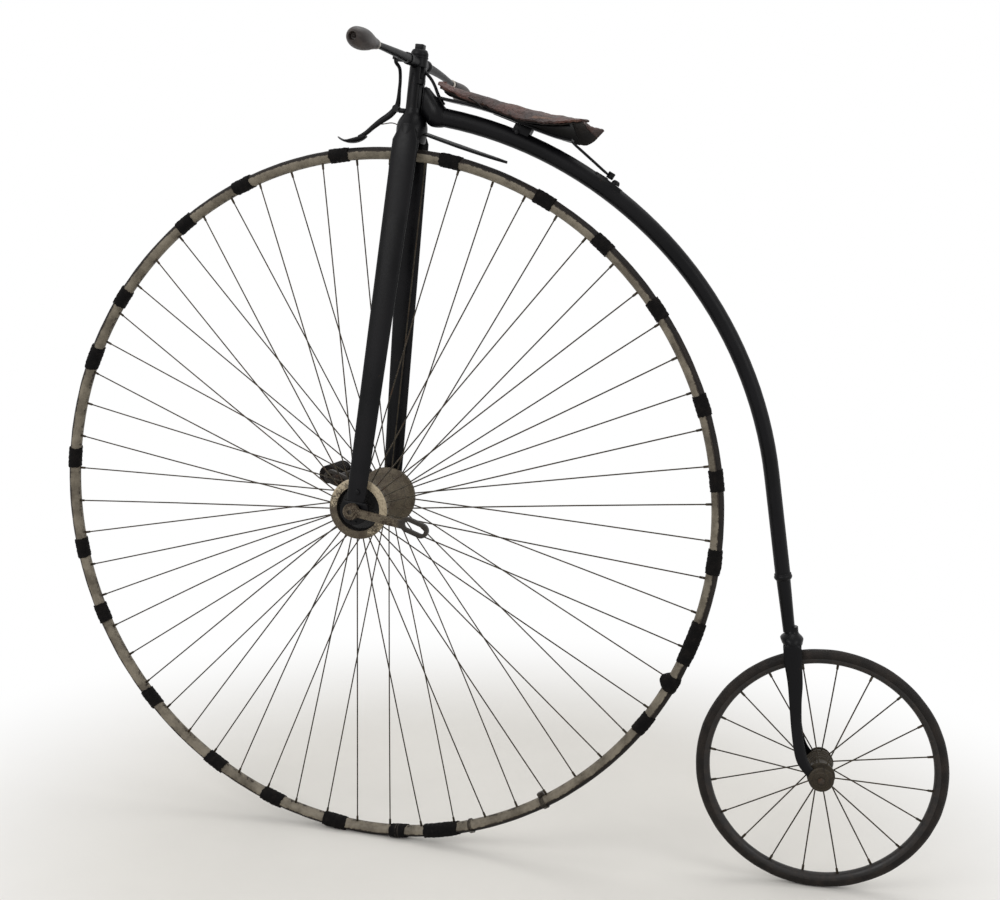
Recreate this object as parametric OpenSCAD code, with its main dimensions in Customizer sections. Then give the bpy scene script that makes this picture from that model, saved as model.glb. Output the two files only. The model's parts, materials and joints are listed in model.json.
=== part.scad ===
// Penny farthing bicycle: large driven front wheel, small trailing wheel, curved backbone.
// All positions are built from the ground point under the front hub (+X to the rear,
// +Y to the rider's right, +Z up) and then moved so that the origin is on the saddle top.

/* [Overall] */
// Outer radius of the front tyre
front_wheel_r = 660; // [520:5:720]
// Outer radius of the rear tyre
rear_wheel_r = 224; // [180:2:260]
// Distance between the wheel axles along the ground
wheelbase = 853; // [820:1:980]
// Rearward lean of the steering axis, in degrees
rake = 5; // [2:0.5:8]
// Angle at which the steering rests, in degrees
steer_rest = -4.4; // [-10:0.2:10]
// How far the steering turns each way from straight ahead, in degrees
steer_limit = 35; // [20:1:40]

/* [Front wheel] */
// Diameter of the front tyre's round section
front_tyre_d = 20; // [16:1:24]
// Width across the front rim
front_rim_w = 25; // [22:1:30]
// Number of front spokes
front_spoke_count = 60; // [40:2:80]
// Diameter of a spoke
spoke_d = 2.6; // [2:0.1:4]
// Radius of a front hub flange
hub_flange_r = 57; // [48:1:70]
// Distance from the wheel plane to the middle of a front hub flange
hub_flange_y = 75; // [66:1:84]
// Thickness of a front hub flange
hub_flange_t = 8; // [6:1:12]
// Radius of the dished opening in a front hub flange
hub_dish_r = 38; // [34:1:42]
// Diameter of the front axle
axle_d = 16; // [12:1:20]

/* [Cranks and pedal] */
// Distance from the axle to the middle of the crank's slot
crank_throw = 124; // [100:1:150]
// Angle of the left crank, rearward being 0 and upward 90, in degrees
crank_angle = -4; // [-180:1:180]
// Further bend of the slotted end below the crank's own line, in degrees
crank_bend = 10; // [0:1:20]
// Length of the slotted end of the crank
slot_end_l = 54; // [44:1:64]
// Width of the slotted end of the crank
slot_end_w = 27; // [22:1:32]
// Width of the slot
slot_w = 13; // [10:0.5:16]
// Thickness of a crank
crank_t = 9; // [7:0.5:12]
// Length of a pedal rubber
pedal_l = 86; // [70:1:100]
// Diameter of a pedal rubber
pedal_rubber_d = 30; // [22:1:34]
// Distance between the middles of the two rubbers on the pedal
pedal_w = 44; // [38:1:60]
// Diameter of the pedal's spindle
pedal_spindle_d = 12; // [9:1:14]

/* [Steering head and fork] */
// Height of the head, from its foot on the fork crown to its top face
head_h = 117; // [90:1:150]
// Radius of the head
head_r = 15.5; // [13:0.5:20]
// Radius of the bored-out inside of the head
head_bore_r = 10.8; // [9.5:0.1:13]
// Diameter of the steering spindle
spindle_d = 15; // [12:0.5:18]
// Clearance between the tyre and the seat where the blades meet the crown
crown_gap = 8; // [5:1:20]
// Height of the fork crown, from the blades' seat to the head's foot
crown_h = 38; // [30:1:60]
// Front-to-rear depth of a blade at its top
blade_top_w = 50; // [36:1:56]
// Front-to-rear depth of a blade at its foot
blade_foot_w = 36; // [28:1:44]
// Thickness of a blade
blade_t = 17; // [12:1:20]
// Distance from the wheel plane to the middle of a blade at its top
blade_top_y = 25; // [22:0.5:32]
// Distance from the wheel plane to the middle of a blade at its foot
blade_foot_y = 95; // [84:0.5:100]

/* [Handlebar] */
// Distance of the handlebar below the head's top face
bar_below = 12; // [10:1:30]
// Distance of the bar ahead of the steering axis
bar_ahead = 3; // [0:0.5:8]
// Diameter of the bar
bar_d = 14; // [12:0.5:18]
// Distance from the middle of the bar to the inner end of a grip
grip_inner_y = 206; // [170:1:260]
// Length of a grip
grip_l = 98; // [80:1:120]
// Largest diameter of a grip
grip_d = 40; // [32:1:46]
// Drop of the left grip below the middle of the bar
grip_drop_left = 4; // [0:1:30]
// Drop of the right grip, which is bent lower
grip_drop_right = 16; // [0:1:30]

/* [Backbone and rear fork] */
// Diameter of the backbone at its top
backbone_top_d = 34; // [28:0.5:40]
// Diameter of the backbone at the collar
backbone_low_d = 27; // [22:0.5:32]
// Diameter of the backbone at the rear fork crown
backbone_tail_d = 21.5; // [18:0.5:26]
// Distance of the backbone's front end behind the front hub
backbone_x = 98; // [90:1:120]
// Height of the backbone's front end above the head's foot
backbone_rise = 10; // [0:1:40]
// Diameter of the collar on the backbone
collar_d = 31; // [28:0.5:36]
// Width of the rear fork crown
rear_crown_w = 36; // [32:1:42]
// Distance from the middle to a rear fork blade at the crown
rear_blade_top_y = 21.5; // [19:0.5:26]
// Distance from the middle to a rear fork blade at the axle
rear_blade_foot_y = 47.5; // [44:0.5:54]
// Radius of a rear hub flange
rear_flange_r = 25; // [20:1:30]
// Distance from the middle of the rear hub to its end face
rear_hub_y = 38; // [32:0.5:40]
// Diameter of the rear axle
rear_axle_d = 10; // [8:0.5:12]
// Number of rear spokes
rear_spoke_count = 20; // [16:2:32]
// Diameter of the rear tyre's round section
rear_tyre_d = 22; // [18:1:28]
// Width across the rear rim
rear_rim_w = 21; // [20:1:30]

/* [Saddle] */
// Distance of the saddle's nose behind the front hub
saddle_x = 110; // [100:1:140]
// Length of the saddle
saddle_l = 270; // [240:1:300]
// Height of the saddle's nose above the backbone's front end
saddle_nose_rise = 59; // [49:1:74]
// Depth of the saddle's tail below the backbone's front end
saddle_tail_drop = 8; // [-4:1:12]
// Half the width of the saddle at its tail
saddle_half_w = 96; // [80:1:110]
// Half the width of the saddle at its nose
saddle_nose_half_w = 22; // [16:1:30]
// Thickness of the leather
leather_t = 6; // [4:0.5:8]
// Thickness of the saddle spring
spring_t = 5; // [3:0.5:8]
// Width of the saddle spring
spring_w = 30; // [20:1:40]

/* [Brake and guard] */
// Clearance between the brake spoon and the tyre
spoon_gap = 6; // [5:0.5:10]
// Width of the brake spoon
spoon_w = 30; // [20:1:36]
// Clearance between the guard strip and the tyre
guard_gap = 19; // [8:1:30]
// Width of the guard strip
guard_w = 18; // [12:1:26]

/* [Hidden] */
$fn = 48;

// Clearances between pieces
seat_gap = 0.3;      // pieces that lie against each other
pin_gap = 0.05;      // radial running fit of a pin in its bore

// Colours
black_paint = [0.07, 0.07, 0.08];
worn_steel = [0.30, 0.28, 0.26];
brass_paint = [0.66, 0.60, 0.46];
rim_paint = [0.62, 0.59, 0.50];
rubber = [0.10, 0.10, 0.10];
leather = [0.36, 0.20, 0.14];
horn = [0.22, 0.18, 0.16];

// Heights above the front hub, along the steering axis
crown_seat = front_wheel_r + crown_gap;
head_foot = crown_seat + crown_h;
head_top = head_foot + head_h;
bar_z = head_top - bar_below;
// Heights above the ground
backbone_z = front_wheel_r + head_foot + backbone_rise;
saddle_nose_z = backbone_z + saddle_nose_rise;
saddle_tail_z = backbone_z - saddle_tail_drop;

// Backbone line: two arcs that turn down to the rear, then a straight tail.
backbone_slope = 8.5;               // fall of the front end, in degrees
backbone_arcs = [[770, 34], [745, 38]];  // each arc's radius and turn
rear_hub_x = wheelbase;
rear_hub_z = rear_wheel_r;
function arc_end(p, a, r, turn) =
    [p[0] + r * (sin(a + turn) - sin(a)), 0, p[2] - r * (cos(a) - cos(a + turn))];
arc_a = [backbone_x, 0, backbone_z];
arc_b = arc_end(arc_a, backbone_slope, backbone_arcs[0][0], backbone_arcs[0][1]);
slope_b = backbone_slope + backbone_arcs[0][1];
arc_c = arc_end(arc_b, slope_b, backbone_arcs[1][0], backbone_arcs[1][1]);
tail_slope = slope_b + backbone_arcs[1][1];
crown_top_z = rear_hub_z + 252;     // height of the rear fork crown's top face
tail_l = (arc_c[2] - crown_top_z) / sin(tail_slope);
function along_tail(s) = arc_c + s * [cos(tail_slope), 0, -sin(tail_slope)];
collar_s = tail_l - 106;            // place of the collar along the tail
tail_end = along_tail(tail_l);

// Origin: the middle of the saddle's top
seat_u = 0.55;                      // share of the saddle's length from its nose
seat_mount = [saddle_x + seat_u * saddle_l, 0, saddle_top(seat_u)];

module place() { translate(-seat_mount) children(); }

// Steering frame: origin at the front hub, +Z along the steering axis
module in_head()
    place() translate([0, 0, front_wheel_r]) rotate([0, rake, 0]) rotate([0, 0, steer_rest])
        children();
// Frame that doesn't turn with the steering, along the same axis
module in_neck()
    place() translate([0, 0, front_wheel_r]) rotate([0, rake, 0]) children();
module in_rear_hub() place() translate([rear_hub_x, 0, rear_hub_z]) children();
// Turned shapes about an axle that runs along Y
module about_axle() rotate([-90, 0, 0]) children();

function unit(v) = v / norm(v);
function blend(a, b, u) = a + (b - a) * u;

// A rod between two points
module rod(p, q, d, d2 = -1) {
    v = q - p;
    translate(p) rotate([0, acos(v[2] / norm(v)), atan2(v[1], v[0])])
        cylinder(h = norm(v), d1 = d, d2 = d2 < 0 ? d : d2);
}

// A closed skin through rings of points, which turn anticlockwise about the path
module loft(rings) {
    n = len(rings[0]);
    last = len(rings) - 1;
    polyhedron(
        points = [for (r = rings) each r],
        faces = concat(
            [[for (k = [0:n - 1]) k]],
            [for (i = [0:last - 1], k = [0:n - 1])
                [i * n + k, (i + 1) * n + k, (i + 1) * n + (k + 1) % n, i * n + (k + 1) % n]],
            [[for (k = [n - 1:-1:0]) last * n + k]]));
}
// An oval ring round point c, square to direction t; half sizes a (towards side) and b
function oval(c, t, side, a, b, n) =
    let (e1 = unit(side - (side * t) * t), e2 = cross(t, e1))
    [for (k = [0:n - 1]) c + a * cos(360 * k / n) * e1 + b * sin(360 * k / n) * e2];
// A tube through points: half[i] gives its half sizes at each point
module sweep(points, half, side = [0, 1, 0], n = 16) {
    last = len(points) - 1;
    loft([for (i = [0:last])
        oval(points[i], unit(points[min(i + 1, last)] - points[max(i - 1, 0)]), side,
            half[i][0], half[i][1], n)]);
}

// ---- Backbone ----
arc_steps = 9;      // rings on each arc
function arc_points(p, a, r, turn, from) =
    [for (i = [from:arc_steps]) arc_end(p, a, r, turn * i / arc_steps)];
backbone_points = concat(
    [arc_a - [cos(backbone_slope), 0, -sin(backbone_slope)]],
    arc_points(arc_a, backbone_slope, backbone_arcs[0][0], backbone_arcs[0][1], 0),
    arc_points(arc_b, slope_b, backbone_arcs[1][0], backbone_arcs[1][1], 1),
    [along_tail(collar_s)]);
function backbone_half(extra) =
    let (last = len(backbone_points) - 1)
    [for (i = [0:last])
        let (r = blend(backbone_top_d, backbone_low_d, i / last) / 2 + extra) [r, r]];
module backbone() color(black_paint) place() {
    sweep(backbone_points, backbone_half(0), n = 20);
    rod(along_tail(collar_s), tail_end, backbone_low_d - 1.5, backbone_tail_d);
}

module backbone_collar() color(black_paint) place()
    translate(along_tail(collar_s)) rotate([0, 90 + tail_slope, 0])
        difference() {
            union() {
                cylinder(h = 5, d1 = backbone_low_d + 2, d2 = collar_d);
                translate([0, 0, 5]) cylinder(h = 5, d1 = collar_d, d2 = backbone_low_d + 1);
            }
            translate([0, 0, -1]) cylinder(h = 12, d = backbone_low_d + 2 * seat_gap);
        }

// ---- Neck and spindle (they stay with the backbone) ----
swing_gap = 5;                      // clearance of the neck round the turning head
neck_low = head_foot + 12;          // foot of the neck on the spindle
neck_top = neck_low + 51;           // top of the neck on the spindle
web_t = 8;                          // thickness of the neck's web inside the head
brace_z = bar_z - 12;               // height of the brace's ring on the spindle
brace_d = 6.5;                      // diameter of the brace
brace_end = [47, 0, neck_top - 14.5];  // lower end of the brace, on top of the neck
module spindle_bore(low, top) translate([0, 0, low - 1])
    cylinder(h = top - low + 2, d = spindle_d + 2 * seat_gap);
module steering_neck() color(black_paint) {
    in_neck() difference() {
        union() {
            translate([0, 0, neck_low]) cylinder(h = neck_top - neck_low, d = spindle_d + 4);
            translate([0, -web_t / 2, neck_low]) cube([head_r + swing_gap + 3, web_t, neck_top - neck_low]);
        }
        spindle_bore(neck_low, neck_top);
    }
    difference() {
        hull() {
            in_neck() translate([head_r + swing_gap, -10, neck_low - 4])
                cube([3, 20, neck_top - neck_low + 6]);
            place() translate(arc_a) rotate([0, 90 + backbone_slope, 0])
                translate([0, 0, -3 - seat_gap]) cylinder(h = 2, d = backbone_top_d - 1);
            place() translate([backbone_x + 14, 0, backbone_z + 24]) cube([4, 20, 6], center = true);
        }
        place() translate(arc_a) rotate([0, 90 + backbone_slope, 0]) translate([0, 0, -1 - seat_gap])
            cylinder(h = 40, d = backbone_top_d + 2 * seat_gap);
    }
    in_neck() difference() {
        union() {
            translate([0, 0, brace_z - 4]) cylinder(h = 8, d = spindle_d + 5);
            rod([spindle_d / 2 + 1.2, 0, brace_z], brace_end, brace_d);
        }
        spindle_bore(brace_z - 4, brace_z + 4);
    }
}
module neck_spindle() color(worn_steel) in_neck()
    translate([0, 0, head_foot - 12]) cylinder(h = head_top - 9 - head_foot + 12, d = spindle_d);

// ---- Rear fork ----
rear_crown_h = 47;
fork_top = tail_end + [8, 0, -rear_crown_h] - [rear_hub_x, 0, rear_hub_z];
module rear_fork_crown() color(black_paint) place() difference() {
    hull() {
        translate(tail_end) rotate([0, 90 + tail_slope, 0])
            translate([0, 0, seat_gap]) cylinder(h = 2, d = 24);
        translate(tail_end + [3, 0, -10])
            cube([rear_crown_w, 2 * rear_blade_top_y + 12, 6], center = true);
        translate(tail_end + [8, 0, 1 - rear_crown_h])
            cube([26, 2 * rear_blade_top_y + 11, 2], center = true);
    }
    translate(tail_end + [8, 0, -rear_crown_h])
        cube([60, 2 * rear_blade_top_y - 10, 52], center = true);
}
// Rings of a rear fork blade from the foot up: share of the height above the axle,
// distance ahead of the straight line to the axle, share of the way out, depth, thickness
rear_blade_rings = [
    [-0.08, -1, 1.00, 14, 6], [-0.04, 1, 1.00, 21, 6], [0.04, 8, 1.00, 24, 6], [0.12, 12, 0.92, 22, 7],
    [0.22, 13, 0.80, 19, 8], [0.40, 13, 0.55, 19, 9], [0.62, 10, 0.28, 21, 9.5], [0.80, 5, 0.10, 23, 10],
    [0.98, 0, 0.00, 25, 10], [1.00, 0, 0.00, 25, 10]];
module rear_fork(side) color(black_paint) in_rear_hub() difference() {
    loft([for (r = rear_blade_rings)
        let (x = r[0] * fork_top[0] - r[1], z = r[0] * (fork_top[2] - seat_gap),
            y = side * blend(rear_blade_top_y, rear_blade_foot_y, r[2]))
        [for (k = [0:15]) [x + r[3] / 2 * cos(22.5 * k), y + r[4] / 2 * sin(22.5 * k), z]]]);
    about_axle() cylinder(h = 2 * rear_blade_foot_y + 40, d = rear_axle_d + 2 * seat_gap, center = true);
}
module rear_fork_left() rear_fork(-1);
module rear_fork_right() rear_fork(1);
module rear_axle() color(worn_steel) in_rear_hub() about_axle() {
    cylinder(h = 2 * (rear_blade_foot_y + 14), d = rear_axle_d, center = true);
    for (s = [-1, 1])
        translate([0, 0, s * (rear_blade_foot_y + 3 + seat_gap + 3.5)])
            cylinder(h = 7, d = 17, center = true, $fn = 6);
}

// ---- Saddle ----
function saddle_top(u) =
    blend(saddle_nose_z, saddle_tail_z, u) - 9 * sin(180 * u) * (1 - u) + 4 * sin(360 * u) * u;
function saddle_half(u) =
    blend(saddle_nose_half_w, saddle_half_w, pow(max(u - 0.25, 0) / 0.75, 1.3));
function saddle_drop(u) = blend(10, 24, u);
// One ring across the leather: over the top from left to right, then back underneath
function saddle_ring(u, t, w_scale = 1) =
    let (w = saddle_half(u) * w_scale, z = saddle_top(u), d = saddle_drop(u), m = 8)
    concat(
        [for (i = [0:m]) let (s = -1 + 2 * i / m)
            [saddle_x + u * saddle_l, w * s, z - d * pow(abs(s), 2.2)]],
        [for (i = [m:-1:0]) let (s = -1 + 2 * i / m)
            [saddle_x + u * saddle_l, w * s * 0.97, z - d * pow(abs(s), 2.2) - t]]);
module saddle_leather() color(leather) place()
    loft([for (i = [0:12]) saddle_ring(i / 12, leather_t)]);
// Line of the saddle spring: seat on the neck, over the clip, up under the tail
spring_points = [for (p = [
    [114, 30], [130, 26.5], [170, 18], [210, 7], [250, -7], [290, -23], [325, -35], [356, -42]])
    [p[0], 0, backbone_z + p[1]]];
module saddle_spring() color(black_paint) place()
    sweep(spring_points, [for (p = spring_points) [spring_w / 2, spring_t / 2]], n = 8);
module saddle_frame() color(black_paint) place()
    loft([for (i = [0:6]) let (u = blend(0.36, 0.97, i / 6))
        [for (p = saddle_ring(u, 4, 0.9)) p - [0, 0, leather_t + seat_gap]]]);
// A block that sits over the top of the backbone between two points above it
module backbone_saddle(p, q, w, t) difference() {
    hull() for (e = [p, q]) translate(e) rotate([0, 28, 0]) cube([4, w, t], center = true);
    sweep(backbone_points, backbone_half(seat_gap), n = 20);
}
module saddle_clip() color(black_paint) place()
    backbone_saddle([252, 0, backbone_z - 20.4], [278, 0, backbone_z - 30.6], 24, 17);
stay_top = [356, 0, backbone_z - 45.1];
stay_foot = [420, 0, backbone_z - 99];
module saddle_stay() color(worn_steel) place() rod(stay_top, stay_foot, 5);
module stay_clamp() color(black_paint) place()
    backbone_saddle([402, 0, backbone_z - 107.5], [440, 0, backbone_z - 133.5], 26, 20);

// ---- Steering head, cap and crown ----
boss_y = 50;        // outer end of a handlebar boss
// An opening in the head's back, wide enough for what it clears at both ends of the steering
module head_window(low, top, half) for (a = [-1, 0, 1])
    rotate([0, 0, a * steer_limit]) translate([0, -half, low]) cube([40, 2 * half, top - low]);
module steering_head() color(black_paint) in_head() difference() {
    union() {
        translate([0, 0, head_foot]) cylinder(h = head_top - head_foot, r = head_r);
        for (s = [-1, 1]) translate([-bar_ahead, 0, bar_z]) rotate([-90 * s, 0, 0]) {
            translate([0, 0, 6]) cylinder(h = boss_y - 14, r1 = 11.8, r2 = 9);
            translate([0, 0, boss_y - 8]) cylinder(h = 8, r = 10.5);
        }
    }
    translate([0, 0, head_foot - 1])
        cylinder(h = head_top - 8 - head_foot + 1, r = spindle_d / 2 + pin_gap);
    translate([0, 0, neck_low - 6]) cylinder(h = brace_z + 5 - neck_low + 6, r = head_bore_r);
    head_window(neck_low - 6, neck_top + swing_gap, web_t / 2 + swing_gap);
    head_window(brace_z - 17, brace_z + 5, brace_d / 2 + swing_gap);
    for (s = [-1, 1]) translate([-bar_ahead, 0, bar_z]) rotate([-90 * s, 0, 0])
        translate([0, 0, bar_in]) cylinder(h = 60, d = bar_d + 2 * seat_gap);
}
module head_cap() color(black_paint) in_head() {
    translate([0, 0, head_top]) cylinder(h = 11, r1 = head_r + 0.5, r2 = head_r - 2);
    translate([-8, -8, head_top + 11]) cube([16, 16, 9.5]);
}
module fork_crown() color(black_paint) in_head() difference() {
    union() {
        hull() {
            translate([0, 0, head_foot - 1]) cylinder(h = 1, r = head_r + 2);
            translate([0, 0, head_foot - 24]) cylinder(h = 4, r = head_r + 12);
        }
        for (s = [-1, 1]) hull() {
            translate([0, s * 10, head_foot - 24]) cylinder(h = 10, d = 48);
            translate([0, s * blade_top_y, crown_seat]) scale([blade_top_w / blade_t, 1, 1])
                cylinder(h = 1, d = blade_t);
        }
    }
    translate([0, 0, head_foot - 13]) cylinder(h = 20, r = spindle_d / 2 + pin_gap);
    translate([0, 0, front_wheel_r - 30]) cube([90, 2 * (blade_top_y - blade_t / 2), 82], center = true);
}

// ---- Fork blades and bearings ----
blade_steps = 6;
function blade_y(u) = blend(blade_foot_y, blade_top_y, u);
blade_foot_z = 16;
module fork_blade(side) color(black_paint) in_head() loft(
    [for (i = [0:blade_steps])
        let (u = i / blade_steps, w = blend(blade_foot_w, blade_top_w, u) / 2,
            t = blade_t / 2 * blend(0.7, 1, u), z = blend(blade_foot_z, crown_seat, u))
        [for (k = [0:23]) [w * cos(15 * k), side * blade_y(u) + t * sin(15 * k), z]]]);
module fork_blade_left() fork_blade(-1);
module fork_blade_right() fork_blade(1);
bearing_r = 27;
bearing_t = 11;
module bearing(side) color(black_paint) in_head() difference() {
    about_axle() translate([0, 0, side * (blade_foot_y - 1)])
        cylinder(h = bearing_t, r = bearing_r, center = true);
    about_axle() cylinder(h = 260, r = axle_d / 2 + pin_gap, center = true);
    translate([-40, -130, blade_foot_z]) cube([80, 260, 60]);
}
module bearing_left() bearing(-1);
module bearing_right() bearing(1);

// ---- Handlebar and grips ----
bar_in = 24;        // inner end of each half of the bar, inside the head's boss
bar_out = grip_inner_y + 12;        // outer end of the bar, inside the grip
function bar_r(y) = bar_d / 2 * blend(1, 0.85, (y - bar_in) / (bar_out - bar_in));
function bar_at(side, y, drop) =
    [-bar_ahead, side * y, bar_z - drop * pow(max(y - 60, 0) / (grip_inner_y - 60 + grip_l / 2), 2)];
bar_steps = 7;
module bar_half(side, drop) sweep(
    [for (i = [0:bar_steps]) bar_at(side, blend(bar_in, bar_out, i / bar_steps), drop)],
    [for (i = [0:bar_steps]) let (r = bar_r(blend(bar_in, bar_out, i / bar_steps))) [r, r]],
    side = [0, 0, 1]);
module handlebar() color(worn_steel) in_head() {
    bar_half(-1, grip_drop_left);
    bar_half(1, grip_drop_right);
}
// Pear shape of a grip: share of its length, share of its diameter
grip_shape = [[0, 0.42], [0.06, 0.5], [0.2, 0.66], [0.4, 0.9], [0.6, 1], [0.8, 0.93], [0.92, 0.72], [1, 0.4]];
module grip(side, drop) color(horn) in_head() difference() {
    sweep(
        [for (g = grip_shape) bar_at(side, grip_inner_y + g[0] * grip_l, drop)],
        [for (g = grip_shape) [g[1] * grip_d / 2, g[1] * grip_d / 2]], side = [0, 0, 1], n = 20);
    sweep(
        [for (y = [grip_inner_y - 4, bar_out + 1]) bar_at(side, y, drop)],
        [for (y = [0, 1]) let (r = bar_r(grip_inner_y) + seat_gap) [r, r]], side = [0, 0, 1], n = 20);
}
module grip_left() grip(-1, grip_drop_left);
module grip_right() grip(1, grip_drop_right);

// ---- Brake ----
// Bell crank of the brake: from the lug under the bar, down past its pivot, to the spoon
lug_y = -64;        // place of the brake's lug along the bar
lever_foot_x = 103; // distance of the lever's foot ahead of the steering axis
spoon_t = 4;
spoon_mid = 90 + asin(lever_foot_x / front_wheel_r);
spoon_from = spoon_mid - 1.5;       // angles of the spoon's ends round the front hub
spoon_to = spoon_mid + 2.8;
function above_spoon(r) =
    (front_wheel_r + spoon_gap + spoon_t + seat_gap + r) * [cos(spoon_mid), 0, sin(spoon_mid)];
brake_points = [
    [-21, lug_y + 2, bar_z + 1], [-22, -56, bar_z - 9], [-21.5, -36, bar_z - 17],
    [-24.5, -20, bar_z - 35], [-28, -10, bar_z - 53], [-31, -2, bar_z - 70],
    [-34, 0, head_foot + 24], [-45, 0, head_foot + 10], [-62, 0, head_foot - 3],
    [-76, 0, head_foot - 15], [-87, 0, head_foot - 25.5], [-96, 0, head_foot - 32],
    above_spoon(8), above_spoon(0.05)];
brake_half = [
    [3.5, 3], [3.5, 3], [3.5, 3], [3.5, 3], [3.5, 3.5], [4, 4.5],
    [4.5, 5.5], [4.5, 6], [4.5, 5.5], [4.5, 4.5], [5, 4], [6, 3.5], [7, 3.5], [7, 3.5]];
module brake_lever() color(black_paint) in_head() sweep(brake_points, brake_half, n = 12);
module brake_spoon() color(black_paint) in_head() rotate([90, 0, 0]) rotate([0, 0, spoon_from])
    translate([0, 0, -spoon_w / 2]) rotate_extrude(angle = spoon_to - spoon_from)
        translate([front_wheel_r + spoon_gap, 0]) square([spoon_t, spoon_w]);
module brake_pivot() color(black_paint) in_head() rod([-head_r - 0.2, 0, head_foot + 19], [-28.3, 0, head_foot + 19], 9);
module brake_lug() color(worn_steel) in_head() difference() {
    translate([-7.3, lug_y, bar_z]) cube([20.6, 8, 17], center = true);
    translate([-bar_ahead, lug_y + 10, bar_z]) rotate([90, 0, 0])
        cylinder(h = 20, d = bar_d + 2 * seat_gap);
}
module brake_spring() color(worn_steel) in_head() rod([-55.2, 0, head_foot - 6], [-27.7, 0, head_foot - 6], 2);

// ---- Guard strip behind the crown ----
module guard_strip() color(black_paint) in_head() difference() {
    sweep([for (x = [24, 60, 110, 160, 186]) [x, 0, sqrt(pow(front_wheel_r + guard_gap, 2) - x * x)]],
        [for (w = [1, 1, 0.9, 0.7, 0.2]) [w * guard_w / 2, 2]], n = 8);
    translate([168, 0, front_wheel_r - 20]) cylinder(h = 30, d = 4);
}

// ---- Front wheel ----
front_tyre_c = front_wheel_r - front_tyre_d / 2;
rim_lip_r = front_wheel_r - 8;
module round_tyre(r, d) about_axle() rotate_extrude() translate([r - d / 2, 0]) circle(d = d);
// A hollow rim: a round section, set in from the tyre's own, less the tyre's seat
module round_rim(wheel_r, tyre_d, rim_w, lip_r, inset) about_axle() rotate_extrude() difference() {
    translate([wheel_r - tyre_d / 2 - inset, 0]) circle(d = rim_w);
    translate([wheel_r - tyre_d / 2, 0]) circle(d = tyre_d + 2 * seat_gap);
    translate([lip_r, -rim_w]) square([rim_w, 2 * rim_w]);
}
module front_tyre() color(rubber) in_head() round_tyre(front_wheel_r, front_tyre_d);
module front_rim() color(rim_paint) in_head()
    round_rim(front_wheel_r, front_tyre_d, front_rim_w, rim_lip_r, 0);
// Spokes: alternate ones run to the left and to the right flange
module spokes(count, first, r_hub, y_hub, r_rim, y_rim) for (k = [0:count - 1]) {
    a = first + 360 * k / count;
    side = k % 2 == 0 ? 1 : -1;
    rod([r_hub * cos(a), side * y_hub, r_hub * sin(a)],
        [r_rim * cos(a), side * y_rim, r_rim * sin(a)], spoke_d, $fn = 16);
}
module front_spokes() color(worn_steel) in_head()
    spokes(front_spoke_count, 3.2, hub_flange_r - 5, hub_flange_y,
        front_tyre_c - front_rim_w / 2 + 1.2, 2);
module front_hub() color(brass_paint) in_head() about_axle() difference() {
    union() {
        cylinder(h = 2 * hub_flange_y, r = 22, center = true);
        for (s = [-1, 1]) translate([0, 0, s * hub_flange_y])
            cylinder(h = hub_flange_t, r = hub_flange_r, center = true);
        for (s = [0, 1]) mirror([0, 0, s]) translate([0, 0, hub_flange_y - 34])
            cylinder(h = 30, r1 = 22, r2 = hub_dish_r + 6);
    }
    cylinder(h = 300, d = axle_d + 2 * seat_gap, center = true);
    for (s = [0, 1]) mirror([0, 0, s]) translate([0, 0, hub_flange_y - 12])
        cylinder(h = 30, r = hub_dish_r);
}
crank_y = blade_foot_y + 11;        // inner face of a crank
module front_axle() color(worn_steel) in_head() about_axle()
    cylinder(h = 2 * (crank_y + crank_t + 2), d = axle_d, center = true);
// A crank from the axle to x, lying in the wheel's plane, on one side
module crank_boss() difference() {
    cylinder(h = crank_t, d = axle_d + 14);
    translate([0, 0, -1]) cylinder(h = crank_t + 2, d = axle_d + 2 * seat_gap);
}
// A flat bar of length l with round ends of width w
module slot_end(w, l, h) {
    for (s = [-1, 1]) translate([s * (l - w) / 2, 0, 0]) cylinder(h = h, d = w);
    translate([-(l - w) / 2, -w / 2, 0]) cube([l - w, w, h]);
}
module crank_flat() {
    crank_boss();
    difference() {
        union() {
            translate([0, -7, 0]) cube([crank_throw - slot_end_l / 2 + 6, 14, crank_t]);
            translate([crank_throw, 0, 0]) rotate([0, 0, -crank_bend]) slot_end(slot_end_w, slot_end_l, crank_t);
        }
        translate([crank_throw, 0, -1]) rotate([0, 0, -crank_bend])
            slot_end(slot_w, slot_end_l - slot_end_w + slot_w, crank_t + 2);
        translate([0, 0, -1]) cylinder(h = crank_t + 2, d = axle_d + 2 * seat_gap);
    }
}
module crank_left() color(brass_paint) in_head() rotate([0, -crank_angle, 0])
    rotate([90, 0, 0]) translate([0, 0, crank_y]) crank_flat();
module crank_right() color(brass_paint) in_head() rotate([0, -crank_angle - 180, 0])
    rotate([90, 0, 0]) mirror([0, 0, 1]) translate([0, 0, crank_y]) crank_flat();
module at_pedal() in_head() rotate([0, -crank_angle - 180, 0]) translate([crank_throw, 0, 0]) children();
pedal_y = crank_y + crank_t + 6;    // inner end of the pedal
module pedal_spindle() color(worn_steel) at_pedal() about_axle() {
    translate([0, 0, crank_y - 1]) cylinder(h = crank_t + pedal_l + 30, d = pedal_spindle_d);
    translate([0, 0, crank_y - 6 - seat_gap]) cylinder(h = 6, d = 20);
}
plate_t = 4;
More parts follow.
